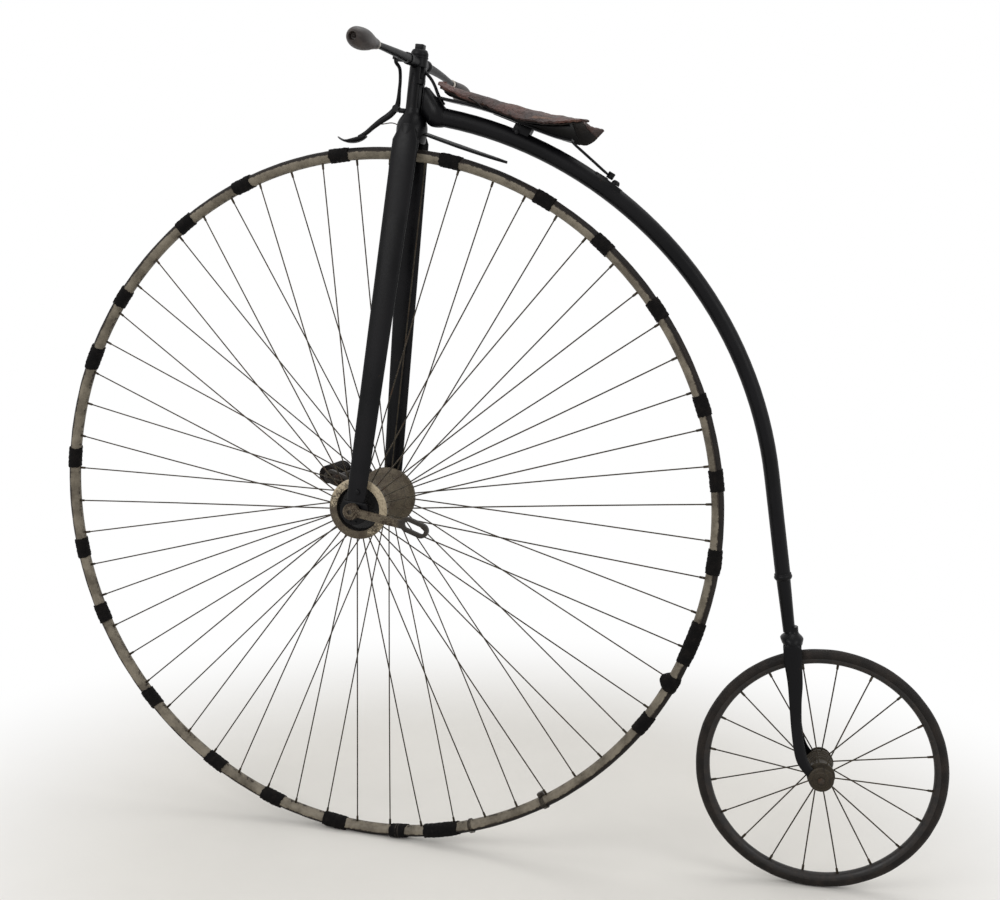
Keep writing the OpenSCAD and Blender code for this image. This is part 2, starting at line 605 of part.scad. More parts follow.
module pedal_frame() color(worn_steel) at_pedal() rotate([0, crank_angle, 0]) about_axle() difference() {
    union() {
        for (z = [pedal_y, pedal_y + plate_t + pedal_l + 2 * seat_gap])
            translate([0, 0, z]) slot_end(22, pedal_w + 20, plate_t);
        translate([0, 0, pedal_y]) cylinder(h = pedal_l + 2 * plate_t, d = pedal_spindle_d + 5);
    }
    translate([0, 0, pedal_y - 1]) cylinder(h = pedal_l + 20, r = pedal_spindle_d / 2 + pin_gap);
}
module pedal_rubbers() color(rubber) at_pedal() rotate([0, crank_angle, 0]) about_axle()
    for (s = [-1, 1]) translate([s * pedal_w / 2, 0, pedal_y + plate_t + seat_gap])
        cylinder(h = pedal_l, d = min(pedal_rubber_d, pedal_w - pedal_spindle_d - 6));

// ---- Rear wheel ----
rear_tyre_c = rear_wheel_r - rear_tyre_d / 2;
rear_rim_inset = 4.5;
rear_rim_in = rear_tyre_c - rear_rim_inset - rear_rim_w / 2;
module rear_tyre() color(rubber) in_rear_hub() round_tyre(rear_wheel_r, rear_tyre_d);
module rear_rim() color(black_paint) in_rear_hub()
    round_rim(rear_wheel_r, rear_tyre_d, rear_rim_w, rear_wheel_r - 15, rear_rim_inset);
module rear_spokes() color(worn_steel) in_rear_hub()
    spokes(rear_spoke_count, 12.5, rear_flange_r - 4, rear_hub_y - 6, rear_rim_in + 2, 2);
module rear_hub() color(brass_paint) in_rear_hub() about_axle() difference() {
    union() {
        cylinder(h = 2 * rear_hub_y, r = 19, center = true);
        for (s = [-1, 1]) translate([0, 0, s * (rear_hub_y - 6)])
            cylinder(h = 6, r = rear_flange_r, center = true);
    }
    cylinder(h = 100, r = rear_axle_d / 2 + pin_gap, center = true);
}

backbone();
steering_neck();
neck_spindle();
backbone_collar();
rear_fork_crown();
rear_fork_left();
rear_fork_right();
rear_axle();
saddle_spring();
saddle_clip();
saddle_frame();
saddle_leather();
saddle_stay();
stay_clamp();
steering_head();
head_cap();
fork_crown();
fork_blade_left();
fork_blade_right();
bearing_left();
bearing_right();
handlebar();
grip_left();
grip_right();
brake_lever();
brake_spoon();
brake_pivot();
brake_lug();
brake_spring();
guard_strip();
front_hub();
front_axle();
front_spokes();
front_rim();
front_tyre();
crank_left();
crank_right();
pedal_spindle();
pedal_frame();
pedal_rubbers();
rear_hub();
rear_spokes();
rear_rim();
rear_tyre();
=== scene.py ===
"""Looks of a penny farthing bicycle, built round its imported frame."""
import json
import math
from random import Random

import bmesh
import bpy
from bpy.props import FloatProperty, FloatVectorProperty, IntProperty, PointerProperty
from mathutils import Matrix, Vector, noise


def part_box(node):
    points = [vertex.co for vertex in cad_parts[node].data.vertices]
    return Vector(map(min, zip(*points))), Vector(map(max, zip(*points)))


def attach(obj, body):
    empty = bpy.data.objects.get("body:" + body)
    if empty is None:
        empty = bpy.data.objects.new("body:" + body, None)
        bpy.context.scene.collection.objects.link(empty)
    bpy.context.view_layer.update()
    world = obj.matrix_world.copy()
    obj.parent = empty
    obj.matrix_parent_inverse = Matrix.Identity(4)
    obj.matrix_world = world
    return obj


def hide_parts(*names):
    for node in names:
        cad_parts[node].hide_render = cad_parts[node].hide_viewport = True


bl_info = {
    "name": "Penny farthing bicycle",
    "version": (1, 0, 0),
    "blender": (4, 5, 0),
    "location": "View3D > Sidebar > Bicycle",
    "description": "Builds the worn surfaces and fittings of a high-wheel bicycle",
    "category": "Add Mesh",
}

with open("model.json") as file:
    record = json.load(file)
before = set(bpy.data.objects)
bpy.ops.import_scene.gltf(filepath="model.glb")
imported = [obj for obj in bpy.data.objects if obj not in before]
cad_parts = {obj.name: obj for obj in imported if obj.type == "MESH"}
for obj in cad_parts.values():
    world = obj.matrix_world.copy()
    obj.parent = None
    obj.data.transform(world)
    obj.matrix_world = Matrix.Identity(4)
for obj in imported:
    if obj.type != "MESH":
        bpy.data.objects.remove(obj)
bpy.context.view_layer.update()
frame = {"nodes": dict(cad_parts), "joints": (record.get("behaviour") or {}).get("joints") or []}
JOINTS = {joint["name"]: joint for joint in frame["joints"]}

# ---- Places -------------------------------------------------------------------------------
def basis(x, y, z, origin):
    """The matrix of a frame with these axes and origin."""
    place = Matrix((x, y, z)).transposed().to_4x4()
    place.translation = origin
    return place


HUB = Vector(JOINTS["front_wheel"]["pos_m"])
AXLE = Vector(JOINTS["front_wheel"]["axis"]).normalized()
STEER = Vector(JOINTS["steering"]["axis"]).normalized()
REAR_HUB = Vector(JOINTS["rear_wheel"]["pos_m"])
GROUND_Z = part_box("rear_tyre")[0].z
RIGHT = Vector((0, 1, 0))
HEAD = basis(AXLE.cross(STEER), AXLE, STEER, HUB)       # turns with the steering
NECK = basis(RIGHT.cross(STEER), RIGHT, STEER, HUB)     # the same axis, fixed to the frame
BIKE = Matrix.Translation((HUB.x, 0, GROUND_Z))         # the ground under the front hub
REAR = Matrix.Translation(REAR_HUB)
ACROSS = Matrix.Rotation(math.radians(-90), 4, "X")     # turns +Z to +Y

# Lengths in millimetres, and one angle in degrees.
TYRE_R = 650                # the front tyre's middle, from the hub
CRANK_R = 124               # the pedal's axis, from the hub
BAR_X, BAR_Z = -3, 811      # the handlebar's middle, in the steering frame
REAR_X, REAR_Z = 853, 224   # the rear hub, in the bicycle's frame
WRAP_TURN = 5.01            # added to the place of each binding round the wheel


def mm(*values):
    return Vector(values) * 0.001


def at(x, y, z):
    """A move by millimetres."""
    return Matrix.Translation(mm(x, y, z))


def outward(side):
    """Turns +Z to one side: +Y for 1 and -Y for -1."""
    return ACROSS if side > 0 else ACROSS @ Matrix.Rotation(math.pi, 4, "X")


def blend(a, b, u):
    return a + (b - a) * u


def flow(rows, steps):
    """Smooth rows of numbers between the given ones, by a curve through them all."""
    out = []
    for i in range(len(rows) - 1):
        a, b, c, d = (rows[min(max(i + k, 0), len(rows) - 1)] for k in (-1, 0, 1, 2))
        for s in range(steps):
            t = s / steps
            out.append([
                0.5 * (2 * q + (r - p) * t + (2 * p - 5 * q + 4 * r - w) * t ** 2
                       + (3 * q - p - 3 * r + w) * t ** 3)
                for p, q, r, w in zip(a, b, c, d)])
    return out + [list(rows[-1])]


# ---- Meshes -------------------------------------------------------------------------------
def hoop(bm, place, half, sides):
    """A ring of edges in a frame's XY plane, with these two half sizes. Four sides make a
    rectangle."""
    grow = math.sqrt(2) if sides == 4 else 1.0
    made = bmesh.ops.create_circle(
        bm, segments=sides, radius=grow, matrix=place @ Matrix.Diagonal((*half, 1, 1))
        @ Matrix.Rotation(math.pi / 4 if sides == 4 else 0, 4, "Z"))
    return list({edge for vert in made["verts"] for edge in vert.link_edges})


def skin(bm, hoops, capped=True):
    """Joins rings of edges into a tube."""
    for a, b in zip(hoops, hoops[1:]):
        bmesh.ops.bridge_loops(bm, edges=a + b)
    if capped:
        for end in (hoops[0], hoops[-1]):
            bmesh.ops.edgeloop_fill(bm, edges=end)


def stations(points, side):
    """Frames along a path: Z on the path, X towards side."""
    out = []
    last = len(points) - 1
    for i, point in enumerate(points):
        ahead = (points[min(i + 1, last)] - points[max(i - 1, 0)]).normalized()
        x = (side - side.dot(ahead) * ahead).normalized()
        out.append(basis(x, ahead.cross(x), ahead, point))
    return out


def sweep(bm, points, halves, side=RIGHT, sides=16, capped=True):
    """A tube along points, with two half sizes at each."""
    skin(bm, [hoop(bm, place, half, sides)
              for place, half in zip(stations(points, side), halves)], capped)


def loft(bm, rows, sides):
    """Level sections from rows of x, y, z and two half sizes, in millimetres."""
    skin(bm, [hoop(bm, at(*row[:3]), (row[3] / 1000, row[4] / 1000), sides) for row in rows])


def tube(bm, rows, side=RIGHT, sides=16):
    """A tube along rows of x, y, z and two half sizes, in millimetres."""
    sweep(bm, [mm(*row[:3]) for row in rows], [(row[3] / 1000, row[4] / 1000) for row in rows],
          side, sides)


def swept(bm, rows, steps=4, side=RIGHT, sides=16):
    """The same, smoothed by a curve through the rows."""
    tube(bm, flow(rows, steps), side, sides)


def turned(bm, profile, steps=64, place=Matrix(), closed=False):
    """Spins a profile of (radius, height) in millimetres about a frame's Z axis."""
    verts = [bm.verts.new(place @ mm(r, 0, h)) for r, h in profile]
    ends = verts[1:] + (verts[:1] if closed else [])
    edges = [bm.edges.new(pair) for pair in zip(verts, ends)]
    bmesh.ops.spin(bm, geom=verts + edges, cent=place.translation, axis=place.col[2].to_3d(),
                   dvec=(0, 0, 0), angle=math.tau, steps=steps, use_merge=True)


def block(bm, size, place, bevel=0.0, segments=2):
    """A bevelled block, with its size in millimetres."""
    made = bmesh.ops.create_cube(
        bm, size=1.0, matrix=place @ Matrix.Diagonal((*mm(*size), 1)))
    if bevel:
        edges = list({edge for vert in made["verts"] for edge in vert.link_edges})
        bmesh.ops.bevel(bm, geom=edges, offset=bevel / 1000, segments=segments,
                        affect="EDGES", profile=0.5, material=-1)


def prism(bm, radius, height, sides, place, bevel=0.6):
    """A nut or bolt head that stands on a frame's XY plane, in millimetres."""
    made = bmesh.ops.create_cone(
        bm, cap_ends=True, segments=sides, radius1=radius / 1000, radius2=radius / 1000,
        depth=height / 1000, matrix=place @ at(0, 0, height / 2))
    edges = list({edge for vert in made["verts"] for edge in vert.link_edges})
    bmesh.ops.bevel(bm, geom=edges, offset=bevel / 1000, segments=2, affect="EDGES",
                    profile=0.5, material=-1)


def plate(bm, outline, thickness, place=Matrix(), bevel=1.2):
    """A flat plate from an outline in millimetres, with rounded edges."""
    face = bm.faces.new([bm.verts.new(place @ mm(x, y, -thickness / 2)) for x, y in outline])
    made = bmesh.ops.extrude_face_region(bm, geom=[face])
    moved = [item for item in made["geom"] if isinstance(item, bmesh.types.BMVert)]
    bmesh.ops.translate(bm, verts=moved, vec=place.to_3x3() @ mm(0, 0, thickness))
    rims = [edge for vert in list(face.verts) + moved for edge in vert.link_edges
            if abs((edge.verts[0].co - edge.verts[1].co).dot(place.col[2].to_3d())) < 1e-6]
    bmesh.ops.bevel(bm, geom=list(set(rims)), offset=bevel / 1000, segments=2, affect="EDGES",
                    profile=0.5, material=-1)


def roughen(bm, amount, scale, seed=0.0):
    """Moves each vertex a little along its normal, in millimetres."""
    bm.normal_update()
    for vert in bm.verts:
        lift = noise.noise(vert.co * scale + Vector((seed, 0, 0)))
        vert.co += vert.normal * lift * amount / 1000


def sharp(bm, crease):
    return [edge for edge in bm.edges if len(edge.link_faces) == 2
            and edge.calc_face_angle(0) > math.radians(crease)]


def finished(name, bm, place, body, slot, material, replaces=(), crease=35.0, bevel=0.0):
    """Makes a piece of a mesh that was built in a frame."""
    bm.transform(place)
    bmesh.ops.remove_doubles(bm, verts=bm.verts, dist=1e-6)
    bmesh.ops.recalc_face_normals(bm, faces=bm.faces)
    if bevel:
        bmesh.ops.bevel(bm, geom=sharp(bm, crease), offset=bevel / 1000, segments=2,
                        affect="EDGES", profile=0.5, material=-1, clamp_overlap=True)
    for face in bm.faces:
        face.smooth = True
    for edge in sharp(bm, crease):
        edge.smooth = False
    mesh = bpy.data.meshes.new(name)
    bm.to_mesh(mesh)
    bm.free()
    piece = bpy.data.objects.new(name, mesh)
    bpy.context.scene.collection.objects.link(piece)
    mesh.materials.append(material)
    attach(piece, body)
    if replaces:
        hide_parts(*replaces)
    return piece


def refined(name, node, body, slot, material, bevel=0.8, extra=None):
    """A copy of a frame part with its doubles merged and its edges rounded. extra adds to it."""
    bm = bmesh.new()
    bm.from_mesh(frame["nodes"][node].data)
    bmesh.ops.remove_doubles(bm, verts=bm.verts, dist=2e-6)
    bmesh.ops.dissolve_limit(bm, angle_limit=math.radians(1), verts=bm.verts, edges=bm.edges)
    bmesh.ops.recalc_face_normals(bm, faces=bm.faces)
    bmesh.ops.bevel(bm, geom=sharp(bm, 40), offset=bevel / 1000, segments=2, affect="EDGES",
                    profile=0.5, material=-1, clamp_overlap=True)
    if extra:
        extra(bm)
    return finished(name, bm, Matrix(), body, slot, material, (node,))


def carve(piece, cutter_bm):
    """Cuts a shape, built in the row frame, out of a piece."""
    bmesh.ops.recalc_face_normals(cutter_bm, faces=cutter_bm.faces)
    mesh = bpy.data.meshes.new("cutter")
    cutter_bm.to_mesh(mesh)
    cutter_bm.free()
    cutter = bpy.data.objects.new("cutter", mesh)
    bpy.context.scene.collection.objects.link(cutter)
    cut = piece.modifiers.new("cut", "BOOLEAN")
    cut.object, cut.operation, cut.solver = cutter, "DIFFERENCE", "EXACT"
    cut.use_self = True
    bpy.context.view_layer.update()
    result = bpy.data.meshes.new_from_object(
        piece.evaluated_get(bpy.context.evaluated_depsgraph_get()))
    piece.modifiers.remove(cut)
    bpy.data.objects.remove(cutter)
    piece.data = result


# ---- Materials ----------------------------------------------------------------------------
class Value:
    """A shader socket that can be used in sums."""

    def __init__(self, finish, socket):
        self.finish, self.socket = finish, socket

    def sum(self, operation, *values):
        return self.finish.node("ShaderNodeMath", {"operation": operation},
                                dict(enumerate(values)))

    def __add__(self, other):
        return self.sum("ADD", self, other)

    def __sub__(self, other):
        return self.sum("SUBTRACT", self, other)

    def __rsub__(self, other):
        return self.sum("SUBTRACT", other, self)

    def __mul__(self, other):
        return self.sum("MULTIPLY", self, other)

    def __truediv__(self, other):
        return self.sum("DIVIDE", self, other)

    __radd__, __rmul__ = __add__, __mul__


class Graph:
    """A node tree, and the one way in which nodes are added to it."""

    def __init__(self, tree):
        self.tree = tree

    def feed(self, socket, value):
        if isinstance(value, Value):
            self.tree.links.new(value.socket, socket)
        elif socket.type == "RGBA":
            socket.default_value = (*value, 1)
        else:
            socket.default_value = value

    def node(self, kind, settings=None, inputs=None, out=0):
        """Adds a node and returns one of its outputs, or all of them where out is None."""
        made = self.tree.nodes.new(kind)
        for key, value in (settings or {}).items():
            setattr(made, key, value)
        for key, value in (inputs or {}).items():
            self.feed(made.inputs[key], value)
        values = [Value(self, socket) for socket in made.outputs]
        if isinstance(out, str):
            return Value(self, made.outputs[out])
        return values if out is None else values[out]

    def seen(self, *names):
        """1 for the kinds of ray named and 0 for the others."""
        rays = [value for value in self.node("ShaderNodeLightPath", out=None)
                if value.socket.name in names]
        total = rays[0]
        for ray in rays[1:]:
            total = ray.sum("MAXIMUM", total, ray)
        return total


class Finish(Graph):
    """A material, with the place that its patterns are drawn in."""

    def __init__(self, name, place=Matrix()):
        self.material = bpy.data.materials.new(name)
        self.material.use_nodes = True
        super().__init__(self.material.node_tree)
        self.shader = self.tree.nodes["Principled BSDF"]
        self.at = self.node("ShaderNodeTexCoord", out="Object")
        if place != Matrix():
            inverse = place.inverted()
            self.at = self.node("ShaderNodeMapping", inputs={
                "Vector": self.at, "Location": inverse.translation,
                "Rotation": inverse.to_euler()})

    def stretch(self, x, y, z, at=None):
        return self.node("ShaderNodeMapping", inputs={"Vector": at or self.at, "Scale": (x, y, z)})

    def noise(self, scale, detail=4.0, rough=0.55, warp=0.0, at=None):
        return self.node("ShaderNodeTexNoise", inputs={
            "Vector": at or self.at, "Scale": scale, "Detail": detail,
            "Roughness": rough, "Distortion": warp})

    def cells(self, scale, feature="DISTANCE_TO_EDGE", at=None, jitter=1.0):
        return self.node("ShaderNodeTexVoronoi", {"feature": feature}, {
            "Vector": at or self.at, "Scale": scale, "Randomness": jitter})

    def step(self, value, low, high):
        """0 below low and 1 above high, with a soft step between."""
        return self.node("ShaderNodeMapRange", {"interpolation_type": "SMOOTHSTEP"}, {
            "Value": value, "From Min": low, "From Max": high})

    def mix(self, factor, a, b):
        return self.node("ShaderNodeMix", {"data_type": "RGBA"}, {0: factor, 6: a, 7: b}, out=2)

    def parts(self, at=None):
        return self.node("ShaderNodeSeparateXYZ", inputs={0: at or self.at}, out=None)

    def polar(self):
        """Distance from the Y axis, place along it and angle round it, as a vector and alone."""
        x, y, z = self.parts()
        angle = z.sum("ARCTAN2", z, x)
        square = x * x + z * z
        far = square.sum("SQRT", square)
        return self.node("ShaderNodeCombineXYZ", inputs={0: far, 1: y, 2: angle}), far, y, angle

    def bump(self, height, depth, onto=None):
        inputs = {"Height": height, "Distance": depth / 1000, "Strength": 1.0}
        if onto:
            inputs["Normal"] = onto
        return self.node("ShaderNodeBump", inputs=inputs)

    def done(self, **sockets):
        for key, value in sockets.items():
            name = key.replace("_", " ").title().replace("Ior", "IOR")
            self.feed(self.shader.inputs[name], value)
        return self.material


def enamel(name, colours, wear=0.5):
    """Worn black paint: a dull gloss with dust, scratches and brown knocks."""
    f = Finish(name)
    cloud = f.noise(9, 5)
    fine = f.noise(160, 4, 0.6)
    knocks = f.step(f.noise(55, 6, 0.7) + 0.35 * f.noise(400, 2), 0.90 - 0.1 * wear, 0.97)
    scratches = f.step(f.noise(60, 5, 0.65, at=f.stretch(1, 1, 9)), 0.66, 0.72) * 0.35
    base = f.mix(f.step(cloud, 0.35, 0.7), colours.enamel, colours.enamel_dusty)
    base = f.mix(scratches, base, (0.022, 0.020, 0.018))
    base = f.mix(knocks * 0.7, base, (0.040, 0.024, 0.016))
    rough = f.step(cloud + 0.4 * fine, 0.3, 1.0) * 0.25 + 0.24 + knocks * 0.3
    return f.done(base_color=base, roughness=rough, specular_ior_level=0.14,
                  normal=f.bump(fine - knocks * 2 + scratches * 0.5, 0.12))


def dull_metal(name, colour, metallic=0.75, rust=0.5, rough=0.42):
    """Old bare metal: tarnish in clouds and brown rust in the hollows."""
    f = Finish(name)
    cloud = f.noise(38, 6, 0.65)
    speck = f.noise(420, 3, 0.6)
    brown = f.step(cloud + 0.25 * speck, 0.72 - 0.2 * rust, 0.88)
    base = f.mix(f.step(f.noise(90, 4), 0.3, 0.7), tuple(0.45 * c for c in colour), colour)
    base = f.mix(brown, base, (0.055, 0.030, 0.017))
    return f.done(base_color=base, metallic=(1 - brown) * metallic, specular_ior_level=0.2,
                  roughness=brown * 0.3 + speck * 0.15 + (rough - 0.07),
                  normal=f.bump(speck + cloud, 0.15))


def rim_cream(name, colours):
    """Old cream paint, stained and rubbed to brown metal along the lips."""
    f = Finish(name, HEAD)
    round_rim, far, _, _ = f.polar()
    at = f.stretch(1, 1, 0.65, at=round_rim)
    stain = f.noise(22, 6, 0.7, at=at)
    streak = f.noise(70, 5, 0.65, at=f.stretch(1, 1, 0.16, at=round_rim))
    chip = f.noise(190, 5, 0.7, at=at)
    edge = f.step(far, 0.6485, 0.6515) * 0.16 + f.step(0 - far, -0.6405, -0.6375) * 0.10
    bare = f.step(chip * 0.5 + stain * 0.5 + edge, 0.60, 0.655)
    base = f.mix(f.step(stain, 0.35, 0.68), colours.rim_cream, colours.rim_stain)
    base = f.mix(f.step(streak, 0.52, 0.72) * 0.55, base, (0.075, 0.062, 0.046))
    base = f.mix(bare, base, (0.026, 0.019, 0.014))
    return f.done(base_color=base, roughness=bare * 0.15 + stain * 0.25 + 0.42,
                  specular_ior_level=0.3, normal=f.bump(chip * 0.6 - bare + streak * 0.4, 0.2))


def rim_brown(name, place):
    """The rear rim's paint: nearly black, rubbed to brown."""
    f = Finish(name, place)
    at = f.stretch(1, 1, 0.3, at=f.polar()[0])
    worn = f.step(f.noise(45, 6, 0.68, at=at), 0.42, 0.66)
    fine = f.noise(300, 3, 0.6, at=at)
    base = f.mix(worn, (0.0060, 0.0048, 0.0044), (0.020, 0.0145, 0.0115))
    base = f.mix(f.step(fine, 0.62, 0.72) * 0.6, base, (0.042, 0.033, 0.025))
    return f.done(base_color=base, roughness=worn * 0.2 + fine * 0.15 + 0.33,
                  specular_ior_level=0.35, normal=f.bump(worn + fine, 0.12))


def tyre_rubber(name, place, colours):
    """Hard old rubber: grey bloom, fine cracks across and a rubbed tread."""
    f = Finish(name, place)
    round_tyre = f.polar()[0]
    at = f.stretch(1, 1, 0.25, at=round_tyre)
    bloom = f.noise(30, 6, 0.65, at=at)
    cracks = f.step(f.cells(150, at=f.stretch(1, 1, 0.6, at=round_tyre)), 0.0, 0.06)
    grain = f.noise(700, 2, 0.5, at=at)
    base = f.mix(f.step(bloom, 0.35, 0.72), colours.rubber, colours.rubber_bloom)
    base = f.mix((1 - cracks) * 0.6, base, (0.002, 0.0018, 0.0016))
    return f.done(base_color=base, roughness=bloom * 0.2 + grain * 0.1 + 0.42,
                  specular_ior_level=0.18, normal=f.bump(cracks + grain * 0.3, 0.18))


def black_tape(name, colours):
    """Bound cloth tape: a tight weave, with dust on the high turns."""
    f = Finish(name, HEAD)
    _, _, y, angle = f.polar()
    along = angle * 0.65
    weave = (along * 5200).sum("SINE", along * 5200) * (y * 5200).sum("SINE", y * 5200)
    dust = f.noise(80, 5, 0.65)
    fray = f.noise(900, 2, 0.5)
    base = f.mix(f.step(dust, 0.42, 0.72), colours.tape, colours.tape_dusty)
    base = f.mix(f.step(fray, 0.6, 0.75) * 0.4, base, (0.022, 0.018, 0.016))
    return f.done(base_color=base, roughness=dust * 0.15 + 0.72, specular_ior_level=0.08,
                  normal=f.bump(weave * 0.5 + fray * 0.8, 0.25))


def hub_paint(name, colours):
    """The front hub: cream flange faces that chip to olive metal, black inside the recess. The
    metal carries rings of turned lines and painted sheen.
    """
    f = Finish(name, HEAD)
    turned_at, far, y, _ = f.polar()
    x, _, z = f.parts()
    patch = f.noise(60, 6, 0.7)
    fine = f.noise(320, 4, 0.65)
    # Rings of lighter and darker metal: turned lines, with painted sheen standing in for the
    # streaks of light on turned metal.
    turned_lines_and_sheen = f.noise(14, 5, 0.7, at=f.stretch(90, 4, 1.2, at=turned_at))
    metal = f.mix(f.step(turned_lines_and_sheen, 0.35, 0.68), (0.040, 0.031, 0.020), (0.125, 0.100, 0.064))
    metal = f.mix(f.step(patch, 0.46, 0.66) * 0.75, metal, (0.040, 0.027, 0.017))
    outside = f.step(y.sum("ABSOLUTE", y), 0.0772, 0.0782) * f.step(far, 0.0415, 0.0425)
    # Besides the chips, more of the cream gives way to dark metal towards the bottom of the flange.
    worn = f.step(patch * 0.55 + fine * 0.45 - (z + 0.45 * x) * 3.2, 0.44, 0.56)
    cream = f.mix(f.step(fine, 0.4, 0.7), colours.hub_cream, (0.22, 0.175, 0.115))
    base = f.mix(outside * (1 - worn), metal, cream)
    recess = f.step(y.sum("ABSOLUTE", y), 0.0620, 0.0624) * (1 - f.step(far, 0.0412, 0.0420))
    base = f.mix(recess, base, (0.005, 0.0042, 0.004))
    return f.done(base_color=base, metallic=(1 - outside * (1 - worn)) * (1 - recess) * 0.45,
                  roughness=fine * 0.2 + 0.42, normal=f.bump(fine * 0.6 + turned_lines_and_sheen * 0.3, 0.2))


def crank_metal(name, colours):
    """Worn crank: cream and brass coloured skin over grey steel, brown in its pits."""
    f = Finish(name, HEAD)
    patch = f.noise(75, 6, 0.7)
    fine = f.noise(380, 4, 0.65)
    x = f.parts()[0]
    steel = f.step(x.sum("ABSOLUTE", x) + (patch - 0.5) * 0.02, 0.088, 0.098)
    base = f.mix(f.step(patch * 0.6 + fine * 0.4, 0.44, 0.56), (0.030, 0.020, 0.013), colours.crank)
    base = f.mix(f.step(fine, 0.56, 0.70) * 0.6, base, (0.20, 0.165, 0.12))
    base = f.mix(steel * 0.9, base, (0.026, 0.023, 0.021))
    base = f.mix(f.step(fine, 0.62, 0.78) * steel, base, (0.026, 0.018, 0.013))
    return f.done(base_color=base, metallic=0.25, roughness=fine * 0.25 + 0.36,
                  specular_ior_level=0.2,
                  normal=f.bump(patch + fine * 0.7, 0.25))


def olive_hub(name, colours):
    """Rear hub metal: greasy olive brown with turned lines."""
    found = bpy.data.materials.get(name)
    if found:
        return found
    f = Finish(name, REAR)
    lines = f.noise(16, 4, 0.6, at=f.stretch(90, 60, 0.6, at=f.polar()[0]))
    grime = f.noise(90, 6, 0.7)
    base = f.mix(f.step(lines, 0.35, 0.68), (0.016, 0.0125, 0.0085), colours.rear_hub)
    base = f.mix(f.step(grime, 0.5, 0.66) * 0.85, base, (0.010, 0.008, 0.006))
    return f.done(base_color=base, metallic=0.15, roughness=grime * 0.25 + 0.34,
                  specular_ior_level=0.2,
                  normal=f.bump(lines * 0.5 + grime, 0.18))


def old_leather(name, colours):
    """Cracked hide: red brown with tan scuffs and dark creases."""
    f = Finish(name)
    cloud = f.noise(20, 5, 0.6)
    scuff = f.noise(42, 6, 0.75, 0.6, at=f.stretch(0.55, 1.5, 1))
    bent = f.node("ShaderNodeVectorMath", {"operation": "MULTIPLY_ADD"}, {
        0: f.node("ShaderNodeTexNoise", inputs={"Vector": f.at, "Scale": 60.0}, out="Color"),
        1: (0.02, 0.02, 0.02), 2: f.stretch(0.7, 1, 1)})
    crack = f.step(f.cells(115, at=bent), 0.0, 0.05)
    pores = f.noise(520, 3, 0.6)
    base = f.mix(f.step(cloud, 0.36, 0.66), colours.leather, colours.leather_red)
    base = f.mix(f.step(scuff, 0.55, 0.70) * 0.85, base, colours.leather_scuff)
    base = f.mix((1 - crack) * 0.6, base, (0.010, 0.005, 0.004))
    return f.done(base_color=base, roughness=scuff * 0.3 + pores * 0.1 + 0.38,
                  specular_ior_level=0.3, normal=f.bump(crack * 0.9 + pores * 0.35 + scuff, 0.6))


def dark_hide_and_painted_shade(name):
    """Near-black rough leather. Under the saddle this near-black is painted shade for the shaded
    inside of the hide.
    """
    f = Finish(name)
    nap = f.noise(260, 5, 0.7)
    cloud = f.noise(24, 5, 0.6)
    base = f.mix(f.step(cloud, 0.35, 0.7), (0.005, 0.0042, 0.004), (0.016, 0.012, 0.010))
    return f.done(base_color=base, roughness=nap * 0.2 + 0.7, specular_ior_level=0.2,
                  normal=f.bump(nap, 0.4))


def grip_horn(name, colours):
    """Turned horn, olive brown in long streaks."""
    f = Finish(name, HEAD)
    streak = f.noise(60, 5, 0.65, 0.4, at=f.stretch(1, 0.22, 1))
    fine = f.noise(330, 4, 0.6, at=f.stretch(1, 0.4, 1))
    base = f.mix(f.step(streak, 0.34, 0.68), colours.horn, colours.horn_pale)
    base = f.mix(f.step(fine, 0.6, 0.76) * 0.6, base, (0.016, 0.011, 0.008))
    return f.done(base_color=base, roughness=streak * 0.25 + fine * 0.1 + 0.28,
                  specular_ior_level=0.3, normal=f.bump(fine, 0.15))


def pedal_rubber(name):
    """Dark ribbed pedal rubber with dirt in its grooves."""
    f = Finish(name)
    dirt = f.noise(120, 5, 0.65)
    fine = f.noise(600, 3, 0.6)
    base = f.mix(f.step(dirt, 0.42, 0.68), (0.0034, 0.0025, 0.0023), (0.012, 0.0085, 0.0068))
    return f.done(base_color=base, roughness=dirt * 0.2 + 0.55, specular_ior_level=0.08,
                  normal=f.bump(fine + dirt, 0.3))


# ---- Shapes shared by the pieces ----------------------------------------------------------
def section(centre, radius, start, end, count):
    """Points (radius, height) of an arc of a round section, its angles in degrees."""
    return [(centre + radius * math.cos(math.radians(blend(start, end, i / count))),
             radius * math.sin(math.radians(blend(start, end, i / count))))
            for i in range(count + 1)]


def rim_section(centre, radius, seat_centre, seat, lip):
    outer = math.degrees(math.acos((lip - centre) / radius))
    inner = math.degrees(math.acos((lip - seat_centre) / seat))
    return (section(centre, radius, outer, 360 - outer, 26)
            + section(seat_centre, seat, 360 - inner, inner, 18))


def rod(bm, start, end, radius, sides=12, end_radius=None):
    """A straight round rod between two points in millimetres."""
    a, b = mm(*start), mm(*end)
    side = Vector((1, 0, 0)) if abs((b - a).normalized().x) < 0.9 else RIGHT
    low, high = radius / 1000, (end_radius or radius) / 1000
    sweep(bm, [a, b], [(low, low), (high, high)], side, sides)


def around(degrees, radius, across=0.0):
    """A point in a wheel's frame, in millimetres."""
    a = math.radians(degrees)
    return (radius * math.cos(a), across, radius * math.sin(a))


